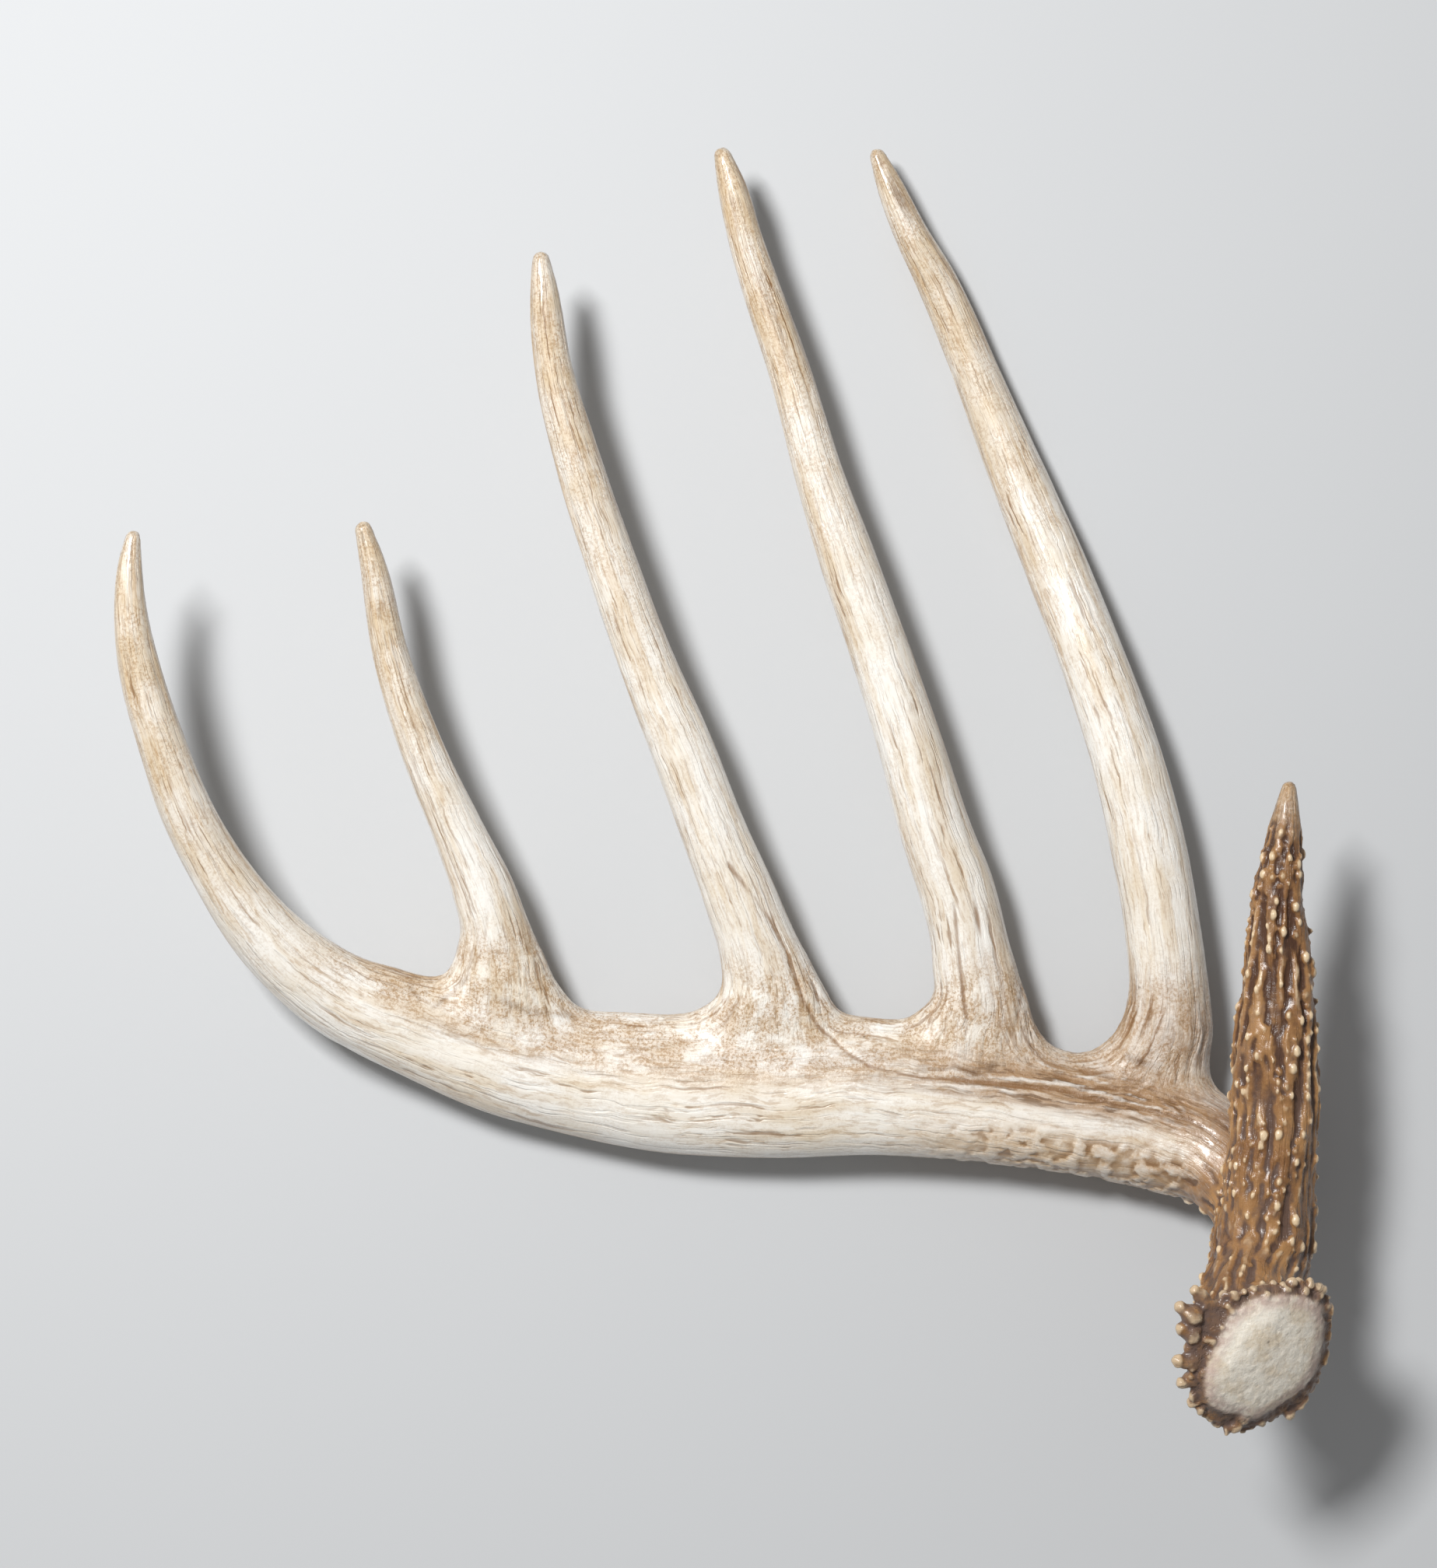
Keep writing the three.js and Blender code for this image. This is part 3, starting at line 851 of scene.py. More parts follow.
def ivory_colour(start, noises):
    """Rubbed bone: warm tips, tan along the outline that is partly painted shade, fibrous flecks, grainy
    webs, a few thin brown lines, painted shade in hollows and painted highlight on crests.
    """
    web, tip, stain, crest = (start.attribute(name) for name in ("web", "tip", "stain", "crest"))
    calm = calm_web(start)
    # Tan near the outline seen from above: partly tan streaks on the edges, partly painted shade where
    # the sides curve away. It also thickens the flecks there.
    side = start.attribute("inset").ramp(EDGE_TAN_AND_SHADE_WIDTH, 0.5 * MM)
    warm = noises["patches"].ramp(0.38, 0.7) * 0.45 + noises["broad"].ramp(0.42, 0.64) * 0.45
    made = warm.tint(IVORY, WARM_IVORY)
    made = limited(noises["broad"].ramp(0.45, 0.68) * (0.22 + 0.1 * tip + 0.65 * side)).tint(made, TAN)
    made = (tip * (0.35 + 0.35 * noises["patches"].ramp(0.35, 0.62))).tint(made, TIP_TAN)
    made = (web * noises["clouds"].ramp(0.38, 0.66) * 0.45).tint(made, TAN)
    flecks = noises["flecks"].ramp(0.5, 0.62) * noises["broad"].ramp(0.25, 0.6)
    made = limited(flecks * (0.38 + 0.3 * tip + 0.25 * web + 0.3 * side)).tint(made, FLECK_AND_SHADE)
    grit = noises["speckle"].ramp(0.46, 0.6) * noises["clouds"].ramp(0.34, 0.58)
    made = limited(grit * (web * 0.6 + tip * 0.45 + 0.15)).tint(made, FLECK_AND_SHADE)
    groove = start.attribute("groove")
    made = (groove * 0.4).tint(made, STAIN)
    curved = noises["curved"].ramp(0.52, 0.64) * start.math("MAXIMUM", web * calm * 0.6, groove * 0.85)
    made = curved.tint(made, STREAK_AND_SHADE)
    lines = noises["lines"].ramp(0.61, 0.67) * noises["broad"].ramp(0.35, 0.62)
    made = limited(lines * (0.7 + 0.3 * tip) * calm).tint(made, STREAK_AND_SHADE)
    made = (stain * (0.6 + 0.4 * noises["lines"].ramp(0.35, 0.6))).tint(made, STAIN)
    made = (stain * noises["threads"].ramp(0.48, 0.6) * 0.85).tint(made, THREAD)
    # Painted shade along the carved furrows.
    crease_shade = start.attribute("sunk").ramp(0.25, 0.65) * 0.75 * noises["mottle"].ramp(0.25, 0.5)
    made = crease_shade.tint(made, STREAK_AND_SHADE)
    under = start.attribute("under")
    made = (under * (0.45 + 0.4 * noises["mottle"].ramp(0.35, 0.6))).tint(made, TAN)
    # Painted shade in the hollows of the flakes under the beam.
    made = (under * (-crest).ramp(-0.1, 0.5) * 0.8).tint(made, FLECK_AND_SHADE)
    # Painted highlight: crests paled towards ivory, partly rubbed wear.
    made = (crest.ramp(0.1, 0.8) * (0.6 - 0.25 * under)).tint(made, IVORY)
    # Painted shade: the hollows darkened.
    made = ((-crest).ramp(0.08, 0.65) * 0.75).tint(made, STREAK_AND_SHADE)
    stained = start.attribute("stained") * (0.6 + 0.4 * noises["flecks"].ramp(0.35, 0.6))
    return stained.tint(made, THREAD)


print("rubbed bone:", IVORY[:3], "and", WARM_IVORY[:3])

# %% [markdown]
# ## Brown bark and the pale seal
# Low on the beam and on the brow tine the bark was never rubbed away. Its hollows are painted
# nearly black as painted shade, or ashy where the juice dried, and its beads are painted pale,
# partly painted highlight and partly rubbed wear. The seal is another bone, spongy and dull, a
# little lilac where it meets the rim.

# %% Bark and seal
BARK = (0.215, 0.099, 0.037, 1)
BARK_PALE = (0.40, 0.213, 0.084, 1)
CREVICE_SHADE = (0.07, 0.030, 0.016, 1)
ASHY_SHADE = (0.135, 0.088, 0.07, 1)
BARK_ASH = (0.19, 0.125, 0.095, 1)
BEAD_WEAR_AND_HIGHLIGHT = (0.74, 0.57, 0.37, 1)
SEAL_PALE = (0.93, 0.87, 0.76, 1)
SEAL_TAN = (0.76, 0.64, 0.48, 1)
SEAL_LILAC = (0.55, 0.41, 0.35, 1)


def bark_colour(start, noises):
    """Brown bark: painted shade in the furrows, ashy low down, and crests painted pale, partly painted
    highlight and partly rubbed wear.
    """
    crest = start.attribute("crest")
    # The colour of the painted shade in the furrows: nearly black, ashy grey low down and on the rim.
    furrow_shade = (start.attribute("ash") * 0.7).tint(CREVICE_SHADE, ASHY_SHADE)
    made = noises["patches"].ramp(0.3, 0.7).tint(BARK, BARK_PALE)
    made = (noises["speckle"].ramp(0.48, 0.7) * 0.5).tint(made, BARK_PALE)
    made = (noises["clouds"].ramp(0.5, 0.66) * 0.4).tint(made, BARK_ASH)
    # Painted shade: the hollows darkened.
    made = ((-crest).ramp(-0.1, 0.9) * 0.95).tint(made, furrow_shade)
    rim = start.attribute("rim")
    # The rim mottled in ashy grey, partly painted shade of its hollow wall.
    made = (rim * noises["mottle"].ramp(0.3, 0.55) * 0.75).tint(made, ASHY_SHADE)
    # Painted highlight on the crests and beads, partly rubbed wear.
    return (crest.ramp(0.4, 1.5) * (0.95 - 0.3 * rim)).tint(made, BEAD_WEAR_AND_HIGHLIGHT)


def seal_colour(start, noises):
    """Spongy bone: pale and softly mottled, a little lilac and tan towards its edge, with painted shade
    in its hollows.
    """
    clouds = noises["clouds"].ramp(0.36, 0.6)
    made = (clouds * 0.75 + noises["speckle"].ramp(0.35, 0.65) * 0.25).tint(SEAL_TAN, SEAL_PALE)
    edge = start.attribute("seal_edge").ramp(0.5, 1)
    made = limited(edge * (0.2 + noises["mottle"].ramp(0.35, 0.6) * 0.7)).tint(made, SEAL_LILAC)
    # Painted shade: the seal's hollows darkened.
    return ((-start.attribute("crest")).ramp(0.1, 0.8) * 0.55).tint(made, STREAK_AND_SHADE)


print("bark:", BARK[:3], "and seal:", SEAL_PALE[:3])

# %% [markdown]
# ## The whole material
# One shader serves every piece, because the bone is one. It mixes the three paints by their
# masks, is dullest on the seal, and has a thin coat of polish where the bone was rubbed. The
# finest fibres are bump, since no mesh could hold them.

# %% The antler material
COAT_ROUGHNESS = 0.16
BUMP_DEPTH = 0.9 * MM
BUMP_STRENGTH = 0.8
# Even noises: size in millimetres, detail, roughness.
SPOTS = {
    "patches": (22, 3.0, 0.6),
    "mottle": (4, 5.0, 0.7),
    "speckle": (1.0, 3.0, 0.7),
    "clouds": (9, 4.0, 0.6),
}
# Noises drawn out along the grain: length, width, detail, roughness, shift.
STREAKS = {
    "broad": (55, 5, 3.0, 0.6, 0.0),
    "flecks": (6, 0.85, 3.0, 0.7, 3.0),
    "threads": (13, 0.9, 2.0, 0.6, 11.0),
    "lines": (34, 1.1, 2.0, 0.55, 7.0),
}
CURVED_LENGTH = 22 * MM
CURVED_WIDTH = 1.3 * MM


def antler_material(name):
    material = bpy.data.materials.new(name)
    material.use_nodes = True
    start = Wire(material.node_tree)
    shade = material.node_tree.nodes["Principled BSDF"]
    grain = Grain(start)
    place = start.place()
    noises = {}
    for label, (size, detail, roughness) in SPOTS.items():
        noises[label] = start.noise(place, 1 / (size * MM), detail, roughness)
    for label, (length, width, detail, roughness, shift) in STREAKS.items():
        noises[label] = grain.streaks(length * MM, width * MM, detail, roughness, shift)
    noises["curved"] = flow(start, CURVED_LENGTH, CURVED_WIDTH, 3.0, 0.6)
    bark = start.attribute("bark")
    weight = bark + (noises["mottle"] - 0.5) * 0.9 * bark.ramp(0, 0.2) * (1 - bark).ramp(0, 0.2)
    colour = weight.ramp(0.05, 0.85).tint(ivory_colour(start, noises), bark_colour(start, noises))
    seal = start.attribute("seal")
    colour = seal.tint(colour, seal_colour(start, noises))
    web = start.attribute("web")
    speckle = noises["speckle"]
    rough = 0.3 + 0.14 * web + 0.28 * seal + (speckle - 0.5) * 0.16
    coat = (0.5 - 0.38 * web) * (1 - seal) * (1 - 0.75 * bark)
    fibres = noises["flecks"] * (0.16 + 0.1 * web) + noises["lines"].ramp(0.5, 0.68) * 0.25
    height = speckle * (0.24 * web + 0.16 * bark + 0.08 * seal + 0.03) - fibres * (1 - seal)
    bump = start.add("ShaderNodeBump", {},
                     {"Strength": BUMP_STRENGTH, "Distance": BUMP_DEPTH, "Height": height})
    shade.inputs["Coat Roughness"].default_value = COAT_ROUGHNESS
    wires = {"Base Color": colour, "Roughness": rough, "Coat Weight": coat, "Normal": bump}
    for key, wire in wires.items():
        material.node_tree.links.new(wire.socket, shade.inputs[key])
    return material


bone = antler_material("bone")
pearled_bone = antler_material("pearled_bone")
print("material nodes:", len(bone.node_tree.nodes))

# %% [markdown]
# ## Trees that reshape a mesh
# Every relief below is a Geometry Nodes tree with the same frame round it: a mesh and a few
# named sizes go in, and real geometry with a material comes out. Small helpers begin such a
# tree, store a value on its mesh, end it, and run it on an object to keep a plain mesh.

# %% Helpers for trees
def new_tree(name, inputs):
    """A Geometry Nodes tree with a mesh going through it and named numbers."""
    tree = bpy.data.node_groups.new(name, "GeometryNodeTree")
    tree.interface.new_socket("Mesh", in_out="INPUT", socket_type="NodeSocketGeometry")
    for label in inputs:
        tree.interface.new_socket(label, in_out="INPUT", socket_type="NodeSocketFloat")
    tree.interface.new_socket("Mesh", in_out="OUTPUT", socket_type="NodeSocketGeometry")
    entry = tree.nodes.new("NodeGroupInput")
    wires = {socket.name: Wire(tree, socket) for socket in entry.outputs if socket.name}
    return tree, Wire(tree), wires


def finish_tree(start, mesh, material):
    """Ends the tree: real geometry with a material on it."""
    real = start.add("GeometryNodeRealizeInstances", {}, {0: mesh})
    painted = start.add("GeometryNodeSetMaterial", {}, {0: real, "Material": material})
    last = start.tree.nodes.new("NodeGroupOutput")
    start.tree.links.new(painted.socket, last.inputs[0])


def store(start, mesh, name, value, kind="FLOAT"):
    """Keeps a value on every point of the mesh, under a name."""
    return start.add("GeometryNodeStoreNamedAttribute", {"data_type": kind, "domain": "POINT"},
                     {"Geometry": mesh, "Name": name, "Value": value})


def run_tree(made, tree, inputs):
    """Sets the named inputs, evaluates the tree on the object and keeps the mesh."""
    modifier = made.modifiers.new(tree.name, "NODES")
    modifier.node_group = tree
    for item in tree.interface.items_tree:
        if item.in_out == "INPUT" and item.name in inputs:
            modifier[item.identifier] = inputs[item.name]
    return plain_mesh(made)


print("tree helpers are ready")

# %% [markdown]
# ## Ridges down the bark
# Blood vessels ran over the growing antler and left furrows, deep near the burr and faint
# further out. They follow the grain, so a noise drawn out along it is a fair copy. The furrows
# are pushed into the skin before any bead is set on a ridge.

# %% Ridges by Geometry Nodes
RIDGE_LENGTH = 22 * MM
RIDGE_WIDTH = 3.1 * MM
RIDGE_DETAIL = 2.2
RIDGE_HEIGHT = 0.9 * MM
FLUTE_WIDTH = 5.5 * MM
FLUTE_LENGTH = 80 * MM
FLUTE_HEIGHT = 0.32 * MM
COARSE_ROUNDS = 11
CREST_UNIT = 0.5 * MM


def measure(start, rounds):
    """How far each vertex stands out from the blurred skin, in crest units."""
    place = start.place()
    blurred = start.add("GeometryNodeBlurAttribute", {"data_type": "FLOAT_VECTOR"},
                        {"Value": place, "Iterations": rounds})
    normal = start.add("GeometryNodeInputNormal")
    offset = start.vector_math("SUBTRACT", place, blurred)
    return start.vector_math("DOT_PRODUCT", offset, normal, out=1) * (1 / CREST_UNIT)


def push_out(start, mesh, height):
    normal = start.add("GeometryNodeInputNormal")
    offset = start.vector_math("SCALE", normal)
    start.tree.links.new(height.socket, offset.socket.node.inputs["Scale"])
    return start.add("GeometryNodeSetPosition", {}, {0: mesh, "Offset": offset})


ridge_sizes = {"Ridge height": RIDGE_HEIGHT, "Flute height": FLUTE_HEIGHT}
tree, start, wires = new_tree("ridges", ridge_sizes)
grain = Grain(start)
ridge = grain.streaks(RIDGE_LENGTH, RIDGE_WIDTH, RIDGE_DETAIL)
flute = grain.streaks(FLUTE_LENGTH, FLUTE_WIDTH, 1.0, 0.5, 5.0)
pearl = start.attribute("pearl")
ridged = (ridge.ramp(0.36, 0.62) * 2 - 1) * pearl.ramp(0, 0.8) * wires["Ridge height"]
fluted = (flute - 0.5) * 2 * (1 - pearl) * wires["Flute height"] * (1 - start.attribute("seal"))
rounded = store(start, wires["Mesh"], "round", measure(start, COARSE_ROUNDS))
finish_tree(start, push_out(start, rounded, ridged + fluted), bone)
run_tree(antler, tree, ridge_sizes)
print("ridged skin:", len(antler.data.vertices), "vertices")

# %% [markdown]
# ## Beads on the ridges
# Antler hunters call the beads pearls. They crowd on the ridges, keep a little distance from
# each other, and are longer than wide along the grain. Scattering points over the skin with a
# least distance between them does exactly that.

# %% Beads by Geometry Nodes
BEAD_GAP = 2.7 * MM
BEAD_RADIUS = 1.1 * MM
BEAD_STRETCH = 1.5
BEAD_SMALLEST = 0.6
BEADS_PER_AREA = 400000
BEAD_SPREAD = 0.8
BALL_SUBDIVISIONS = 3
BALL_VERTICES = 162


def new_ball(start, radius):
    values = {"Radius": radius, "Subdivisions": BALL_SUBDIVISIONS}
    return start.add("GeometryNodeMeshIcoSphere", {}, values)


bead_sizes = {"Gap": BEAD_GAP, "Radius": BEAD_RADIUS, "Stretch": BEAD_STRETCH}
tree, start, wires = new_tree("beads", bead_sizes)
ridge = Grain(start).streaks(RIDGE_LENGTH, RIDGE_WIDTH, RIDGE_DETAIL)
crowd = start.attribute("pearl").ramp(0.05, 0.9) * ridge.ramp(0.44, 0.6) * 0.7
scatter = start.add("GeometryNodeDistributePointsOnFaces", {"distribute_method": "POISSON"},
                    {"Mesh": wires["Mesh"], "Distance Min": wires["Gap"], "Density Max": BEADS_PER_AREA,
                     "Density Factor": crowd, "Seed": 4})
normal = Wire(tree, scatter.socket.node.outputs["Normal"])
turn = start.add("FunctionNodeAxesToRotation", {"primary_axis": "Z", "secondary_axis": "X"},
                 {0: normal, 1: start.attribute("run", "FLOAT_VECTOR")})
ball = new_ball(start, wires["Radius"])
chance = start.add("FunctionNodeRandomValue", {"data_type": "FLOAT"}, {2: 0.0, 3: 1.0, "Seed": 9}, out=1)
grow = BEAD_SMALLEST + chance * chance * BEAD_SPREAD
longer = grow * wires["Stretch"]
size = start.add("ShaderNodeCombineXYZ", {}, {0: longer, 1: grow, 2: grow})
beads = start.add("GeometryNodeInstanceOnPoints", {},
                  {"Points": scatter, "Instance": ball, "Rotation": turn, "Scale": size})
finish_tree(start, beads, bone)
beads = duplicate(antler)
run_tree(beads, tree, bead_sizes)
print("beads:", len(beads.data.vertices) // BALL_VERTICES)

# %% [markdown]
# ## Knobs round the rim
# The rim of the burr is a ring of the same beads, grown large. A closed curve follows the edge
# that was measured, and a bead is set every few millimetres, a little out of line.

# %% Rim beads
RIM_GAP = 3.6 * MM
RIM_RADIUS = 1.6 * MM
RIM_DROP = 7.5
RIM_SHIFT_LOW = (-0.9 * MM, -0.9 * MM, -1.6 * MM)
RIM_SHIFT_HIGH = (0.5 * MM, 0.9 * MM, 1.2 * MM)
RIM_SIZE_LOW = (0.5, 0.5, 0.6)
RIM_SIZE_HIGH = (1.55, 1.55, 1.7)

edge = np.array(RIM_EDGE)
ring = on_seat(edge[:, 0], edge[:, 1], np.full(len(edge), RIM_DROP))
rim_sizes = {"Gap": RIM_GAP, "Radius": RIM_RADIUS}
tree, start, wires = new_tree("rim", rim_sizes)
curve = start.add("GeometryNodeMeshToCurve", {}, {0: wires["Mesh"]})
spaced = start.add("GeometryNodeResampleCurve", {"mode": "LENGTH"},
                   {"Curve": curve, "Length": wires["Gap"]})
points_on_rim = start.add("GeometryNodeCurveToPoints", {"mode": "EVALUATED"}, {0: spaced})
jitter = start.add("FunctionNodeRandomValue", {"data_type": "FLOAT_VECTOR"},
                   {0: RIM_SHIFT_LOW, 1: RIM_SHIFT_HIGH, "Seed": 2})
moved = start.add("GeometryNodeSetPosition", {}, {0: points_on_rim, "Offset": jitter})
ball = new_ball(start, wires["Radius"])
grow = start.add("FunctionNodeRandomValue", {"data_type": "FLOAT_VECTOR"},
                 {0: RIM_SIZE_LOW, 1: RIM_SIZE_HIGH, "Seed": 6})
set_out = start.add("GeometryNodeInstanceOnPoints", {},
                    {"Points": moved, "Instance": ball, "Scale": grow})
finish_tree(start, set_out, bone)
rim_mesh = bpy.data.meshes.new("rim")
rim_lines = [(i, (i + 1) % len(ring)) for i in range(len(ring))]
rim_mesh.from_pydata([tuple(p) for p in ring], rim_lines, [])
rim_beads = link(bpy.data.objects.new("rim_beads", rim_mesh))
run_tree(rim_beads, tree, rim_sizes)
print("rim beads:", len(rim_beads.data.vertices) // BALL_VERTICES)

# %% [markdown]
# ## Studs: a head and a neck
# A knob that stands out is two balls: a small one at its head, and one drawn out into a neck
# that widens towards the bone. The knobs of the rim point away from the middle of the seat, and
# the beads on the brow tine's outline point away from its axis.

# %% Knobs one by one
# Each knob: its outer end seen from above, its drop below the seat, its radius and its length.
KNOBS = [
    (147.9, -172.2, 7, 2.9, 7), (148.4, -179.4, 8, 3.1, 5), (147.0, -190.6, 8, 2.8, 8),
    (148.8, -198.6, 8, 2.4, 6), (168.5, -216.9, 7, 3.6, 5), (160.5, -212.4, 8, 2.6, 5),
    (177.6, -167.6, 5, 2.4, 4), (185.2, -167, 5, 2.1, 4), (191.8, -167.8, 5, 2.2, 4),
    (197.4, -169.8, 5, 1.9, 4), (200.6, -174, 6, 1.9, 4), (178.2, -215.8, 7, 2.7, 5),
    (153.4, -206.4, 9, 2.2, 4), (153.2, -166.6, 12, 2.2, 5), (188.6, -212.4, 7, 2, 4),
]
INNER_BEADS = [
    (169.3, -173.4, 4.4, 1.6, 3), (162.8, -179, 4.8, 1.5, 7), (155.9, -195.2, 5, 1.5, 2),
    (158.6, -189.3, 4.4, 1.1, 2), (159.5, -204.9, 5, 1.4, 3), (163.6, -191, 3, 1.3, 1),
    (157.2, -183.4, 5.4, 1.4, 3), (164.8, -171.6, 5, 1.5, 3), (157.8, -200.6, 4.6, 1.3, 2),
]
HEAD = 0.82
NECK = 1.15
NECK_TAPER = 0.45
NECK_REACH = 1.35
# Each bead on the brow tine's outline: its place and its radius.
SPIKES = [
    (196.5, -46.3, 61, 1.1), (198.8, -53.3, 61, 1.3), (198.1, -60.8, 60.5, 1.1),
    (200.0, -66, 60, 1.3), (200.8, -76.8, 60, 1.3), (201.4, -85, 59.5, 1.4),
    (201.1, -97, 59.5, 1.1), (201.7, -113, 59, 1.5), (201.5, -125, 58.5, 1.4),
    (201.4, -136, 58, 1.3), (200.9, -144, 57.5, 1.3), (200.6, -160.8, 58, 1.4),
]
SPIKE_ROOT = 0.3
FOOT_DROP = 1.0


def ball_points():
    maker = bmesh.new()
    bmesh.ops.create_icosphere(maker, subdivisions=BALL_SUBDIVISIONS, radius=1)
    points = np.array([v.co[:] for v in maker.verts])
    faces = [tuple(v.index for v in f.verts) for f in maker.faces]
    maker.free()
    return points, faces


BALL, BALL_FACES = ball_points()


def stud(head, foot, radius, name):
    """A small ball at the head, and a neck that widens from it towards the foot."""
    axis = unit(foot - head)
    far = np.linalg.norm(foot - head) / 2
    along = BALL @ axis
    along = along[:, None]
    around = (NECK + NECK_TAPER * along) * radius * MM * (BALL - along * axis)
    neck = (head + foot) / 2 + around + NECK_REACH * far * along * axis
    thick = object_from(name + "_neck", neck, BALL_FACES)
    return [object_from(name, head + BALL * HEAD * radius * MM, BALL_FACES), thick]


def knob(x, y, drop, radius, length, name):
    """A knob of the rim, which points away from the middle of the seat."""
    inwards = SEAT_CENTRE[:2] - (x, y)
    inwards = inwards / np.linalg.norm(inwards)
    head_at = np.array([x, y]) + inwards * radius * HEAD
    foot_at = head_at + inwards * length
    head = on_seat(head_at[0], head_at[1], drop)
    foot = on_seat(foot_at[0], foot_at[1], drop + FOOT_DROP)
    return stud(head, foot, radius, name)


def spike(x, y, z, radius, name):
    """A bead on the outline of the brow tine, which points away from its axis."""
    tine = branches["brow_tine"]
    head = np.array([x, y, z]) * MM
    middle = tine.centre[nearest_rows(tine, head[None])[0]]
    return stud(head, head + (middle - head) * SPIKE_ROOT, radius, name)


knobs = []
for number, row in enumerate(KNOBS + INNER_BEADS):
    knobs += knob(*row, name=f"knob_{number}")
for number, row in enumerate(SPIKES):
    knobs += spike(*row, name=f"spike_{number}")
print("knobs:", len(KNOBS), "inner beads:", len(INNER_BEADS), "beads on the outline:", len(SPIKES))

# %% [markdown]
# ## One skin again
# Ridges, beads and knobs are fused into one closed skin with a finer voxel. Fusing loses the
# survey, so each new vertex takes it back from the nearest place on the old skin. That is one
# node tree, and it is far quicker than surveying again.

# %% Fuse everything and carry the survey over
FINE_VOXEL = 0.6 * MM
NUMBERS = ["tine_share", "bark", "web", "tip", "under", "stain", "groove", "inset", "seal", "rim",
           "seal_edge", "ash", "round"]
VECTORS = ["grain_beam", "grain_tine"]

old_skin = antler
old_skin.name = "old_skin"
antler = voxel_fuse(join([duplicate(old_skin), beads, rim_beads] + knobs, "antler"), FINE_VOXEL)
edges = read_edges(antler.data)
points = smooth_in_place(read_rows(antler.data.vertices, "co", 3), edges, 1)
write_points(antler.data, points)

tree, start, wires = new_tree("carry", {})
source = start.add("GeometryNodeObjectInfo", {"transform_space": "ORIGINAL"}, {0: old_skin}, out=4)
mesh = wires["Mesh"]
for name in NUMBERS + VECTORS:
    kind = "FLOAT" if name in NUMBERS else "FLOAT_VECTOR"
    found = start.add("GeometryNodeSampleNearestSurface", {"data_type": kind},
                      {"Mesh": source, "Value": start.attribute(name, kind)})
    mesh = store(start, mesh, name, found, kind)
finish_tree(start, mesh, bone)
run_tree(antler, tree, {})
bpy.data.objects.remove(old_skin)
print("fine skin:", len(antler.data.vertices), "vertices")

# %% [markdown]
# ## Carve what the photograph shows
# A few furrows are landmarks of this one antler: the long crease where the webs meet the round
# bar of the beam, and the grooves that run down from the tines. They are measured lines, so
# each vertex near one is sunk by its distance from it.

# %% Landmark furrows
# Each line: its depth in millimetres, or a stain's strength, then its width and its points.
FURROWS = [
    (0.7, 1.9, [(23.6, -61.1), (30, -79.2), (34.8, -87.2), (44.6, -96.3), (52.9, -101.1), (59.3, -102.7),
                 (68.9, -104.3), (92.4, -106.7), (115.8, -108.5), (139.3, -114.4), (162.8, -119.2)]),
    (0.5, 2.2, [(3.8, -31.7), (11.3, -40.8), (18.5, -50.7), (23.6, -61.1), (26.5, -70)]),
    (0.4, 1.8, [(87.8, -36.8), (89.4, -48.8), (90.5, -56)]),
    (0.5, 1.8, [(81.4, -44.8), (82.4, -56), (83, -65.3), (86.2, -89.6)]),
    (0.4, 1.8, [(120, -101), (133, -105), (147, -112), (158, -116)]),
    (0.35, 1.6, [(108, -104.5), (124, -106.5), (138, -110), (150, -115.2)]),
    (0.3, 1.5, [(100, -94), (104, -84), (105.5, -74)]),
    (0.3, 1.5, [(42, -94), (36.5, -84), (33, -72)]),
    (0.3, 1.6, [(-52, -78), (-60, -68), (-66, -55)]),
    (0.3, 1.6, [(-86, -72), (-80, -60), (-78, -46)]),
]
STAINS = [
    (1.0, 2.3, [(81, -100.8), (86.5, -102.8), (92, -104.2)]),
    (1.0, 1.7, [(92.6, -101.3), (95, -101.4)]),
    (1.0, 2.2, [(141.5, -97.8), (149, -101)]),
    (0.9, 3.2, [(59.2, 208), (62.4, 201), (66.8, 192)]),
    (0.65, 2.4, [(17.5, 184), (24, 165), (32.5, 134)]),
    (0.3, 4.5, [(131, 84), (141, 50), (149, 14)]),
    (0.33, 3.5, [(-110, 60), (-104, 40), (-96, 18)]),
    (0.33, 4.0, [(-38, 118), (-28, 88), (-18, 60)]),
    (0.7, 1.1, [(-85.6, -70.5), (-91, -75.5), (-97.5, -81)]),
    (0.65, 1.1, [(-106, -73), (-101.8, -78)]),
    (0.5, 2.2, [(-50, -84), (-66, -82), (-78, -76)]),
]
END_STRENGTH = 0.1
BLUNTNESS = 0.35
WAVER = 0.2
WAVER_TURN = 9
FACING_UP = (0, 0.3)


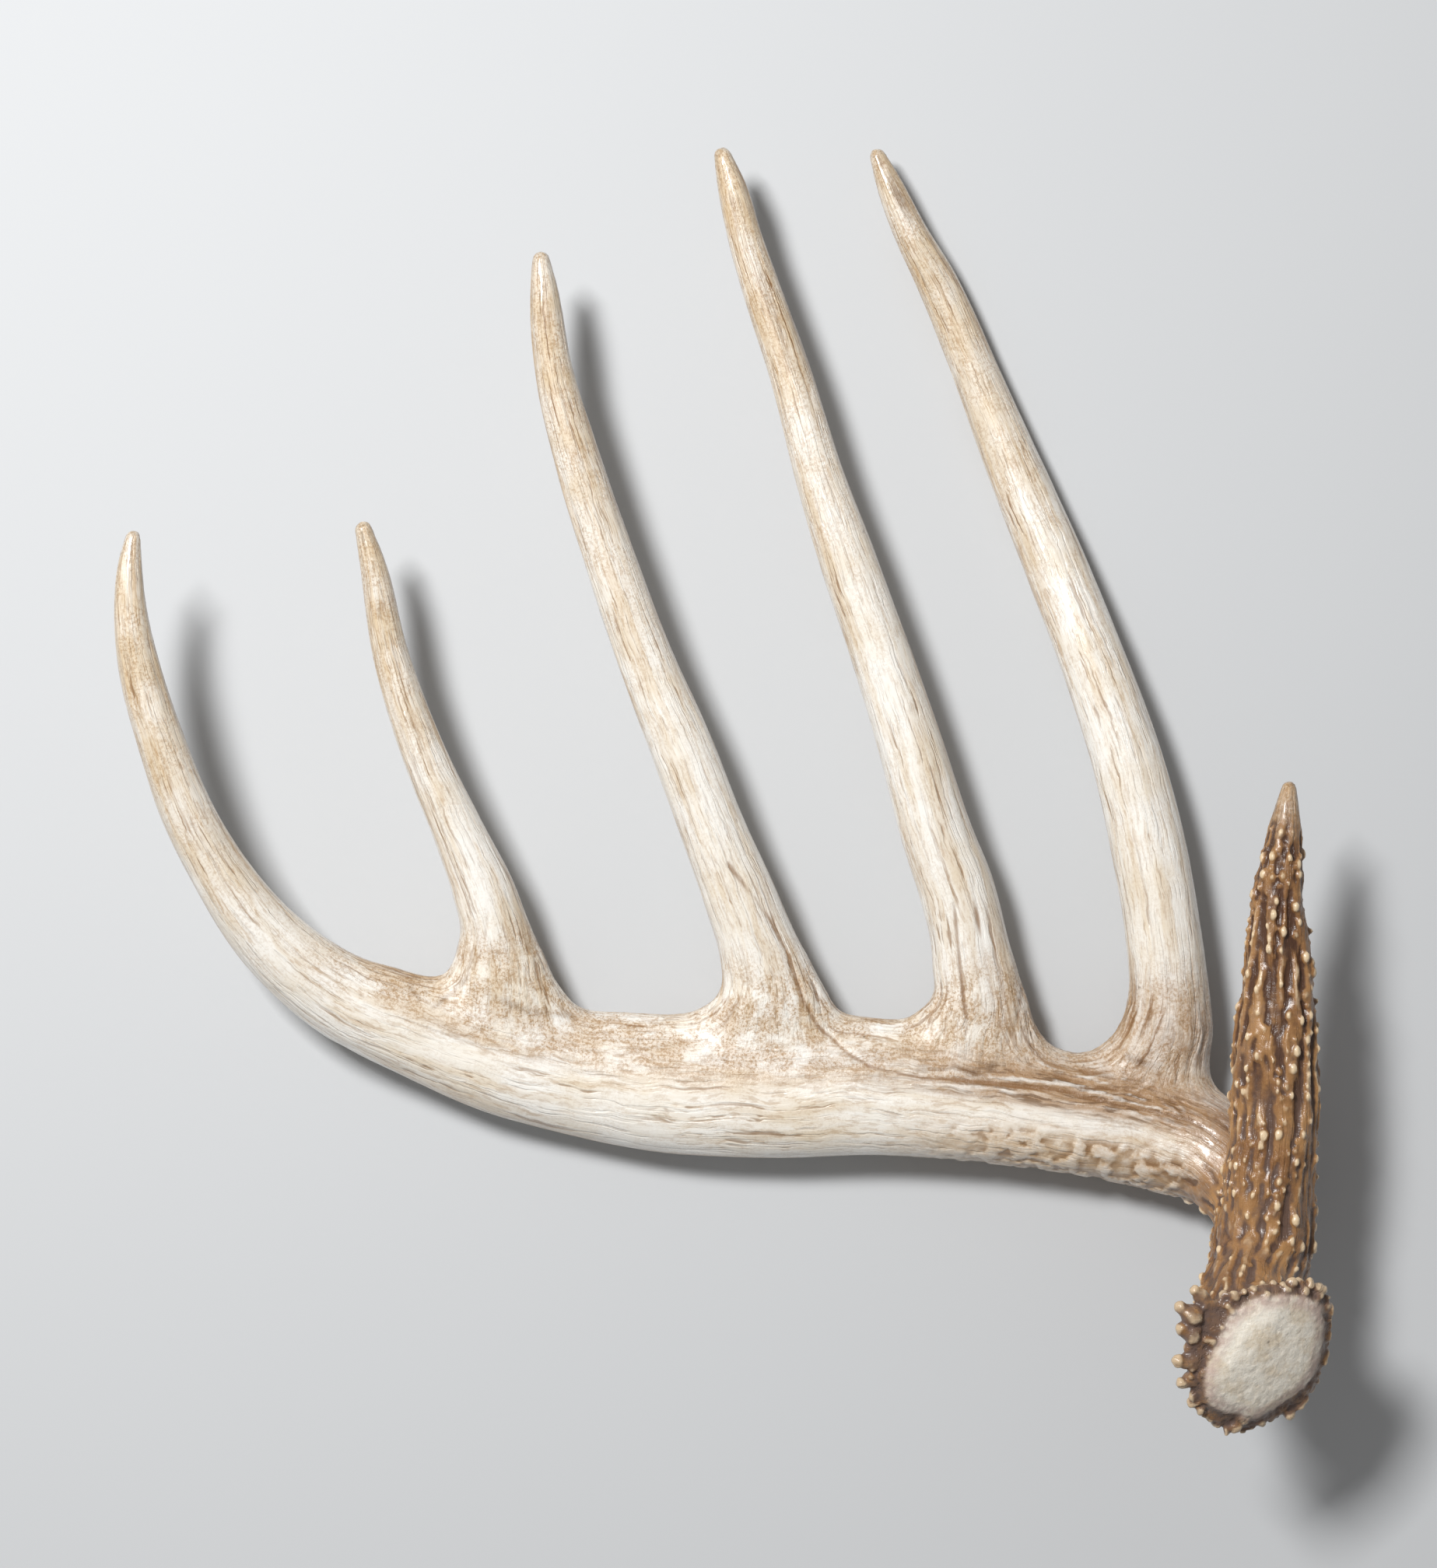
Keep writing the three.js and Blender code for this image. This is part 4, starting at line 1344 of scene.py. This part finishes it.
def near_lines(points, facing, rows):
    """How strongly each point that faces up lies on one of the lines, which taper at their ends."""
    found = np.zeros(len(points))
    flat = points[:, :2] / MM
    for strength, width, line in rows:
        ends = np.array(line, float)
        steps = np.linalg.norm(np.diff(ends, axis=0), axis=1)
        begun = np.concatenate([[0], np.cumsum(steps)]) / steps.sum()
        low, high = ends.min(0) - width, ends.max(0) + width
        near = np.all((flat > low) & (flat < high), axis=1)
        gap = np.full(near.sum(), np.inf)
        passed = np.zeros(near.sum())
        for i, (a, b) in enumerate(zip(ends, ends[1:])):
            run = b - a
            share = np.clip((flat[near] - a) @ run / (run @ run), 0, 1)
            this = np.linalg.norm(flat[near] - a - share[:, None] * run, axis=1)
            passed = np.where(this < gap, begun[i] + share * (begun[i + 1] - begun[i]), passed)
            gap = np.minimum(gap, this)
        taper = np.clip(4 * passed * (1 - passed) + END_STRENGTH, 0, 1)**BLUNTNESS
        taper = taper * (1 - WAVER + WAVER * np.sin(WAVER_TURN * passed + width))
        found[near] = np.maximum(found[near], strength * taper * (1 - ramp(gap, 0, width)))
    return found * ramp(facing[:, 2], *FACING_UP)


facing = read_rows(antler.data.vertex_normals, "vector", 3)
points = read_rows(antler.data.vertices, "co", 3)
put(antler.data, "sunk", near_lines(points, facing, FURROWS))
put(antler.data, "stained", near_lines(points, facing, STAINS))
print("furrows:", len(FURROWS), "and stains:", len(STAINS))

# %% [markdown]
# ## Fine relief, and a measure of it
# The last relief is small: flakes under the beam near the burr, a grain in the webs, a spongy
# seal. Then the tree blurs the skin and stores how far each vertex stands above or below the
# blurred one. That number is what tells the paint a crest from a hollow.

# %% Relief by Geometry Nodes
FLAKE_HEIGHT = 0.75 * MM
GRIT_HEIGHT = 0.28 * MM
LINE_HEIGHT = 0.55 * MM
THREAD_HEIGHT = 0.5 * MM
LUMP_HEIGHT = 0.9 * MM
FLAKE_SIZE = 6 * MM
GRIT_SIZE = 1.9 * MM
LUMP_SIZE = 3.6 * MM
LINE_LENGTH = 34 * MM
LINE_WIDTH = 2.6 * MM
THREAD_LENGTH = 13 * MM
THREAD_WIDTH = 1.5 * MM
BLUR_ROUNDS = 40

relief_sizes = {"Flake height": FLAKE_HEIGHT, "Grit height": GRIT_HEIGHT, "Line height": LINE_HEIGHT,
                "Thread height": THREAD_HEIGHT, "Lump height": LUMP_HEIGHT}
tree, start, wires = new_tree("relief", relief_sizes)
place = start.place()
grain = Grain(start)
web, stain, seal, rim = (start.attribute(name) for name in ("web", "stain", "seal", "rim"))
flakes = start.noise(place, 1 / FLAKE_SIZE, 2.5).ramp(0.42, 0.6)
flakes = flakes * start.attribute("under") * wires["Flake height"]
grit = (start.noise(place, 1 / GRIT_SIZE, 2.0, 0.6) - 0.5) * 2 * wires["Grit height"]
where = 0.85 * web + 0.9 * start.attribute("bark") + 0.4 * seal
lumps = (start.noise(place, 1 / LUMP_SIZE, 1.5) - 0.5) * 2 * rim * wires["Lump height"]
straight = (grain.streaks(LINE_LENGTH, LINE_WIDTH, 2.0) - 0.5) * (0.5 + 1.8 * stain)
bent = web * calm_web(start) * 0.8 + 1.2 * start.attribute("groove")
curved = (flow(start, CURVED_LENGTH, 2.0 * MM, 1.5) - 0.5) * bent
lines = (straight + curved) * 2 * wires["Line height"] * (1 - seal)
threads = (grain.streaks(THREAD_LENGTH, THREAD_WIDTH, 1.5, 0.5, 11.0) - 0.5) * 2 * stain
lines = lines + threads * wires["Thread height"] + lumps
pushed = push_out(start, wires["Mesh"], flakes + grit * where + lines - start.attribute("sunk") * MM)
crest = measure(start, BLUR_ROUNDS) - start.attribute("round") * (1 - 0.6 * rim)
finish_tree(start, store(start, pushed, "crest", crest), bone)
run_tree(antler, tree, relief_sizes)
crests = read_rows(antler.data.attributes["crest"].data, "value", 1)
print("crest, lowest to highest percentile:", np.percentile(crests, [1, 25, 50, 75, 99]).round(2))

# %% [markdown]
# ## Fewer triangles, then six pieces
# A collapse spends triangles where the skin bends and saves them on the polished tines. The
# skin is then cut across each fork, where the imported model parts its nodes, and every cut is
# closed. The pieces keep the normals of the whole skin, so no seam shows.

# %% Cut the skin at the forks
TRIANGLES = 320000
# Each fork's cut: its middle, the lean of the tine in degrees, and the width of the cut.
FORKS = {
    "brow_tine": (187, -124, 72, 0, 60),
    "second_tine": (157, -68, 10, 20, 60),
    "third_tine": (90, -66, 20, 17.5, 60),
    "fourth_tine": (18, -62, 25, 17.5, 70),
    "fifth_tine": (-76, -50, 30, 18, 50),
}
FORK_DEPTH = 60 * MM
CUT_NEAR = 3 * MM


def along_fork(name, points):
    """Distance beyond a fork's cut, and whether the point is abreast of that tine."""
    x, y, z, lean, width = FORKS[name]
    at = (np.array([x, y, z]) + ORIGIN) * MM
    lean = math.radians(lean)
    ahead = np.array([-math.sin(lean), math.cos(lean), 0])
    beside = np.array([math.cos(lean), math.sin(lean), 0])
    offset = points - at
    abreast = (np.abs(offset @ beside) < width * MM / 2) & (np.abs(offset[:, 2]) < FORK_DEPTH / 2)
    return offset @ ahead, abreast, at, ahead


thin = antler.modifiers.new("thin", "DECIMATE")
thin.ratio = TRIANGLES / (2 * len(antler.data.polygons))
thin.use_collapse_triangulate = True
plain_mesh(antler)
centres = read_rows(antler.data.polygons, "center", 3)
cutter = bmesh.new()
cutter.from_mesh(antler.data)
cutter.faces.ensure_lookup_table()
near_cuts = []
for name in FORKS:
    beyond, abreast, at, ahead = along_fork(name, centres)
    rows = np.nonzero(abreast & (np.abs(beyond) < CUT_NEAR))[0]
    near_cuts.append(([cutter.faces[i] for i in rows], at, ahead))
for faces, at, ahead in near_cuts:
    edges_near = {edge for face in faces for edge in face.edges}
    corners = {corner for face in faces for corner in face.verts}
    near = faces + list(edges_near) + list(corners)
    bmesh.ops.bisect_plane(cutter, geom=near, plane_co=at, plane_no=ahead)
bmesh.ops.triangulate(cutter, faces=[face for face in cutter.faces if len(face.verts) > 3])
cutter.to_mesh(antler.data)
cutter.free()
print("triangles after the cuts:", len(antler.data.polygons))

# %% [markdown]
# ## Closing a cut
# A saw leaves a flat end, so each open loop at a fork is closed by a fan of triangles. The few
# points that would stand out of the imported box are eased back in.

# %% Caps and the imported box
MARGIN = 1.2 * MM


def mesh_from(name, points, triangles, smooth, corner_normals):
    mesh = bpy.data.meshes.new(name)
    mesh.vertices.add(len(points))
    mesh.vertices.foreach_set("co", points.astype(np.float32).ravel())
    mesh.loops.add(3 * len(triangles))
    mesh.loops.foreach_set("vertex_index", triangles.astype(np.int32).ravel())
    mesh.polygons.add(len(triangles))
    mesh.polygons.foreach_set("loop_start", np.arange(0, 3 * len(triangles), 3, dtype=np.int32))
    mesh.update(calc_edges=True)
    mesh.polygons.foreach_set("use_smooth", smooth)
    mesh.normals_split_custom_set(corner_normals)
    return mesh


def keep_inside(points):
    """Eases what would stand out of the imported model's box back inside it."""
    low, high = (np.array(corner) for corner in cad_box)
    low, high = low + MARGIN, high - MARGIN
    points = np.where(points > high, high + MARGIN * np.tanh((points - high) / MARGIN), points)
    return np.where(points < low, low - MARGIN * np.tanh((low - points) / MARGIN), points)


def cap(points, triangles):
    """Closes each open loop with a fan from its middle. Returns the middles and the fans."""
    ends = np.concatenate([triangles[:, [0, 1]], triangles[:, [1, 2]], triangles[:, [2, 0]]])
    key = ends.min(1) * len(points) + ends.max(1)
    _, first, count = np.unique(key, return_index=True, return_counts=True)
    rim = ends[first[count == 1]]
    middles = points[rim].mean(1)
    gaps = []
    for name in FORKS:
        beyond, abreast, _, _ = along_fork(name, middles)
        gaps.append(np.where(abreast, np.abs(beyond), np.inf))
    fork_of = np.array(gaps).argmin(0)
    added = []
    fans = []
    rings = []
    for number in np.unique(fork_of):
        own = rim[fork_of == number]
        middle = np.full(len(own), len(points) + len(added))
        fans.append(np.column_stack([own[:, 1], own[:, 0], middle]))
        added.append(points[own[:, 0]].mean(0))
        rings.append(own[:, 0])
    return np.array(added), np.concatenate(fans), rings


print("margin inside the box, mm:", round(MARGIN / MM, 2))

# %% [markdown]
# ## One piece for each node
# Each piece takes its share of the triangles with their normals and attributes, gets its caps,
# and names the body it rides on, the node it stands for and its slot of material.

# %% Make the pieces
SLOTS = {name: "bone" for name in branches}
SLOTS["brow_tine"] = "pearled_bone"
MATERIALS = {"bone": bone, "pearled_bone": pearled_bone}


def piece(name, skin, triangles, normals, values):
    used, corners = np.unique(triangles, return_inverse=True)
    corners = corners.reshape(-1, 3)
    points = skin[used]
    added, fans, rings = cap(points, corners)
    every = np.concatenate([points, added])
    a, b, c = every[fans[:, 0]], every[fans[:, 1]], every[fans[:, 2]]
    flat = unit(np.cross(b - a, c - a))
    round_normals = normals[used][corners].reshape(-1, 3)
    corner_normals = np.concatenate([round_normals, np.repeat(flat, 3, axis=0)])
    smooth = np.arange(len(corners) + len(fans)) < len(corners)
    mesh = mesh_from(name, every, np.concatenate([corners, fans]), smooth, corner_normals)
    for label, rows in values.items():
        own = rows[used]
        extra = np.array([own[ring].mean(0) for ring in rings])
        put(mesh, label, np.concatenate([own, extra]))
    made = link(bpy.data.objects.new(name + "_skin", mesh))
    made.data.materials.append(MATERIALS[SLOTS[name]])
    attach(made, "root")
    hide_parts(name)
    print(made.name, len(triangles) + len(fans), "triangles")
    return made


skin = read_rows(antler.data.vertices, "co", 3)
normals = read_rows(antler.data.vertex_normals, "vector", 3)
triangles = read_rows(antler.data.loops, "vertex_index", 1).astype(int).reshape(-1, 3)
centres = skin[triangles].mean(1)
owner = np.zeros(len(triangles), int)
for number, name in enumerate(FORKS, 1):
    beyond, abreast, _, _ = along_fork(name, centres)
    owner[(beyond > 0) & abreast] = number
skin = keep_inside(skin)
values = {name: read_rows(antler.data.attributes[name].data, "value", 1)[:, 0]
          for name in NUMBERS + ["crest", "sunk", "stained"]}
for name in VECTORS:
    values[name] = read_rows(antler.data.attributes[name].data, "vector", 3)
pieces = [piece(name, skin, triangles[owner == number], normals, values)
          for number, name in enumerate(["main_beam"] + list(FORKS))]
bpy.data.objects.remove(antler)

# %% [markdown]
# ## A pale table and one soft lamp
# The bone is pale as well, so the table is a little cooler and darker than the ivory, and the
# lamp is off to the upper left, where it grazes the ridges. The sky fills the shadows without
# emptying them.

# %% Floor, lamp and sky
FLOOR_SIZE = 3.0
FLOOR_COLOUR = (0.56, 0.57, 0.58, 1)
FLOOR_ROUGHNESS = 0.8
LAMP_POWER = 26
LAMP_SIZE = 0.3
LAMP_PLACE = (-0.5, 0.52, 1.34)
SKY = 0.25

corners = FLOOR_SIZE * np.array([(-1, -1, 0), (1, -1, 0), (1, 1, 0), (-1, 1, 0)])
floor = object_from("floor", corners, [(0, 1, 2, 3)])
pale = bpy.data.materials.new("pale_floor")
pale.use_nodes = True
paint = pale.node_tree.nodes["Principled BSDF"].inputs
paint["Base Color"].default_value = FLOOR_COLOUR
paint["Roughness"].default_value = FLOOR_ROUGHNESS
floor.data.materials.append(pale)

lamp = link(bpy.data.objects.new("lamp", bpy.data.lights.new("lamp", "AREA")))
lamp.data.energy = LAMP_POWER
lamp.data.size = LAMP_SIZE
lamp.location = LAMP_PLACE
lamp.rotation_euler = (-lamp.location).to_track_quat("-Z", "Y").to_euler()
world = bpy.data.worlds.new("sky")
world.use_nodes = True
sky = world.node_tree.nodes["Background"].inputs
sky["Color"].default_value = (1, 1, 1, 1)
sky["Strength"].default_value = SKY
bpy.context.scene.world = world
bpy.context.scene.view_settings.view_transform = "Standard"
print("lamp, metres above the table:", LAMP_PLACE[2])
